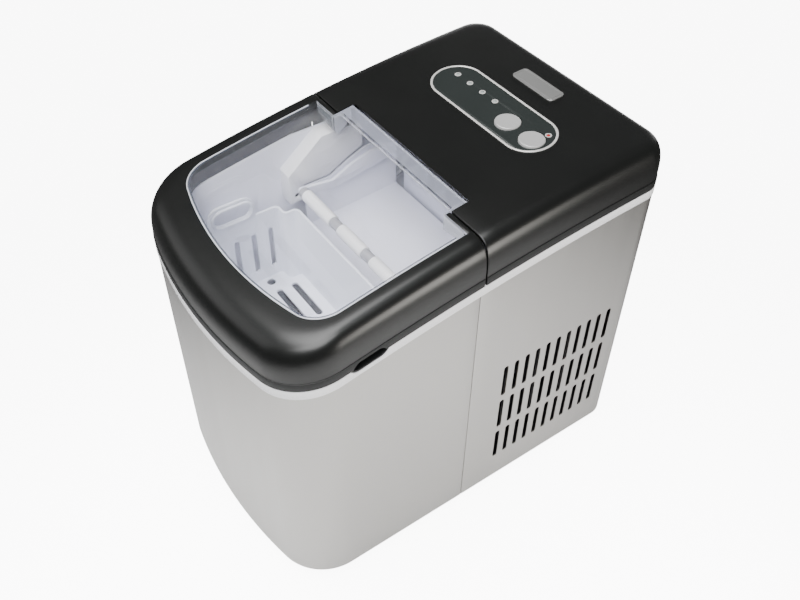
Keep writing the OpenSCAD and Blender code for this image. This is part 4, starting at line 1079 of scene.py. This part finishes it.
def floor_painted_light():
    """Pale paper with painted light: a glow that shows it white to the camera, and a pool of
    light that fades to dark in reflections from far off.
    """
    mat = surface("floor_painted_light", (0.90, 0.90, 0.90), 0.85, grain=300, bump=0.02, mottle=0.005)
    nt = mat.node_tree
    shader = nt.nodes["Principled BSDF"]
    coords = add_node(nt, "ShaderNodeTexCoord")
    reach = add_node(nt, "ShaderNodeVectorMath", operation="DISTANCE")
    reach.inputs[1].default_value = LIGHT_POOL_CENTRE
    nt.links.new(coords.outputs["Object"], reach.inputs[0])
    light_pool = add_node(nt, "ShaderNodeMapRange", interpolation_type="SMOOTHSTEP")
    for socket, value in (("From Min", LIGHT_POOL_NEAR), ("From Max", LIGHT_POOL_FAR), ("To Min", 1.0),
                          ("To Max", LIGHT_POOL_FAR_TONE)):
        light_pool.inputs[socket].default_value = value
    nt.links.new(reach.outputs["Value"], light_pool.inputs["Value"])
    shade = add_node(nt, "ShaderNodeMix", data_type="RGBA", blend_type="MULTIPLY")
    shade.inputs[MIX_FACTOR].default_value = 1.0
    nt.links.new(shader.inputs["Base Color"].links[0].from_socket, shade.inputs[MIX_A])
    nt.links.new(light_pool.outputs["Result"], shade.inputs[MIX_B])
    nt.links.new(shade.outputs[MIX_RESULT], shader.inputs["Base Color"])

    # The painted glow, seen by camera rays only
    path = add_node(nt, "ShaderNodeLightPath")
    camera_glow = add_node(nt, "ShaderNodeMath", operation="MULTIPLY")
    camera_glow.inputs[1].default_value = FLOOR_CAMERA_GLOW
    nt.links.new(path.outputs["Is Camera Ray"], camera_glow.inputs[0])
    shader.inputs["Emission Color"].default_value = (1, 1, 1, 1)
    nt.links.new(camera_glow.outputs[0], shader.inputs["Emission Strength"])
    return mat


def softbox(name, at, target, size, power, colour):
    data = bpy.data.lights.new(name, "AREA")
    data.shape = "RECTANGLE"
    data.size, data.size_y = size
    data.energy = power
    data.color = colour
    obj = bpy.data.objects.new(name, data)
    obj.location = at
    obj.rotation_euler = (Vector(target) - Vector(at)).to_track_quat("-Z", "Y").to_euler()
    bpy.context.scene.collection.objects.link(obj)


def studio():
    bm = bmesh.new()
    edge = (-FLOOR_HALF_MM, FLOOR_HALF_MM)
    grid(bm, [[(x, y, 0) for x in edge] for y in edge], closed_loop=False)
    floor = new_object("floor", bm)
    floor.data.materials.append(floor_painted_light())

    world = bpy.data.worlds.new("studio")
    bpy.context.scene.world = world
    world.use_nodes = True
    back = world.node_tree.nodes["Background"]
    back.inputs["Color"].default_value = (1.0, 1.0, 1.0, 1)
    back.inputs["Strength"].default_value = WORLD_STRENGTH

    for box in SOFTBOXES:
        softbox(*box)


def camera():
    """Sets the camera from its axes: back from the object, then right and up after the roll."""
    flat, rise = math.cos(CAMERA_ELEVATION), math.sin(CAMERA_ELEVATION)
    across, along = math.cos(CAMERA_AZIMUTH), math.sin(CAMERA_AZIMUTH)
    back = Vector((along * flat, -across * flat, rise))
    level = Vector((across, along, 0))
    upright = back.cross(level)
    right = level * math.cos(CAMERA_ROLL) + upright * math.sin(CAMERA_ROLL)
    up = upright * math.cos(CAMERA_ROLL) - level * math.sin(CAMERA_ROLL)
    data = bpy.data.cameras.new("camera")
    data.sensor_width = SENSOR_MM
    data.lens = LENS_MM
    cam = bpy.data.objects.new("camera", data)
    rows = [(r, u, b, at) for r, u, b, at in zip(right, up, back, CAMERA_AT)]
    cam.matrix_world = Matrix((*rows, (0, 0, 0, 1)))
    bpy.context.scene.collection.objects.link(cam)
    bpy.context.scene.camera = cam


studio()
camera()
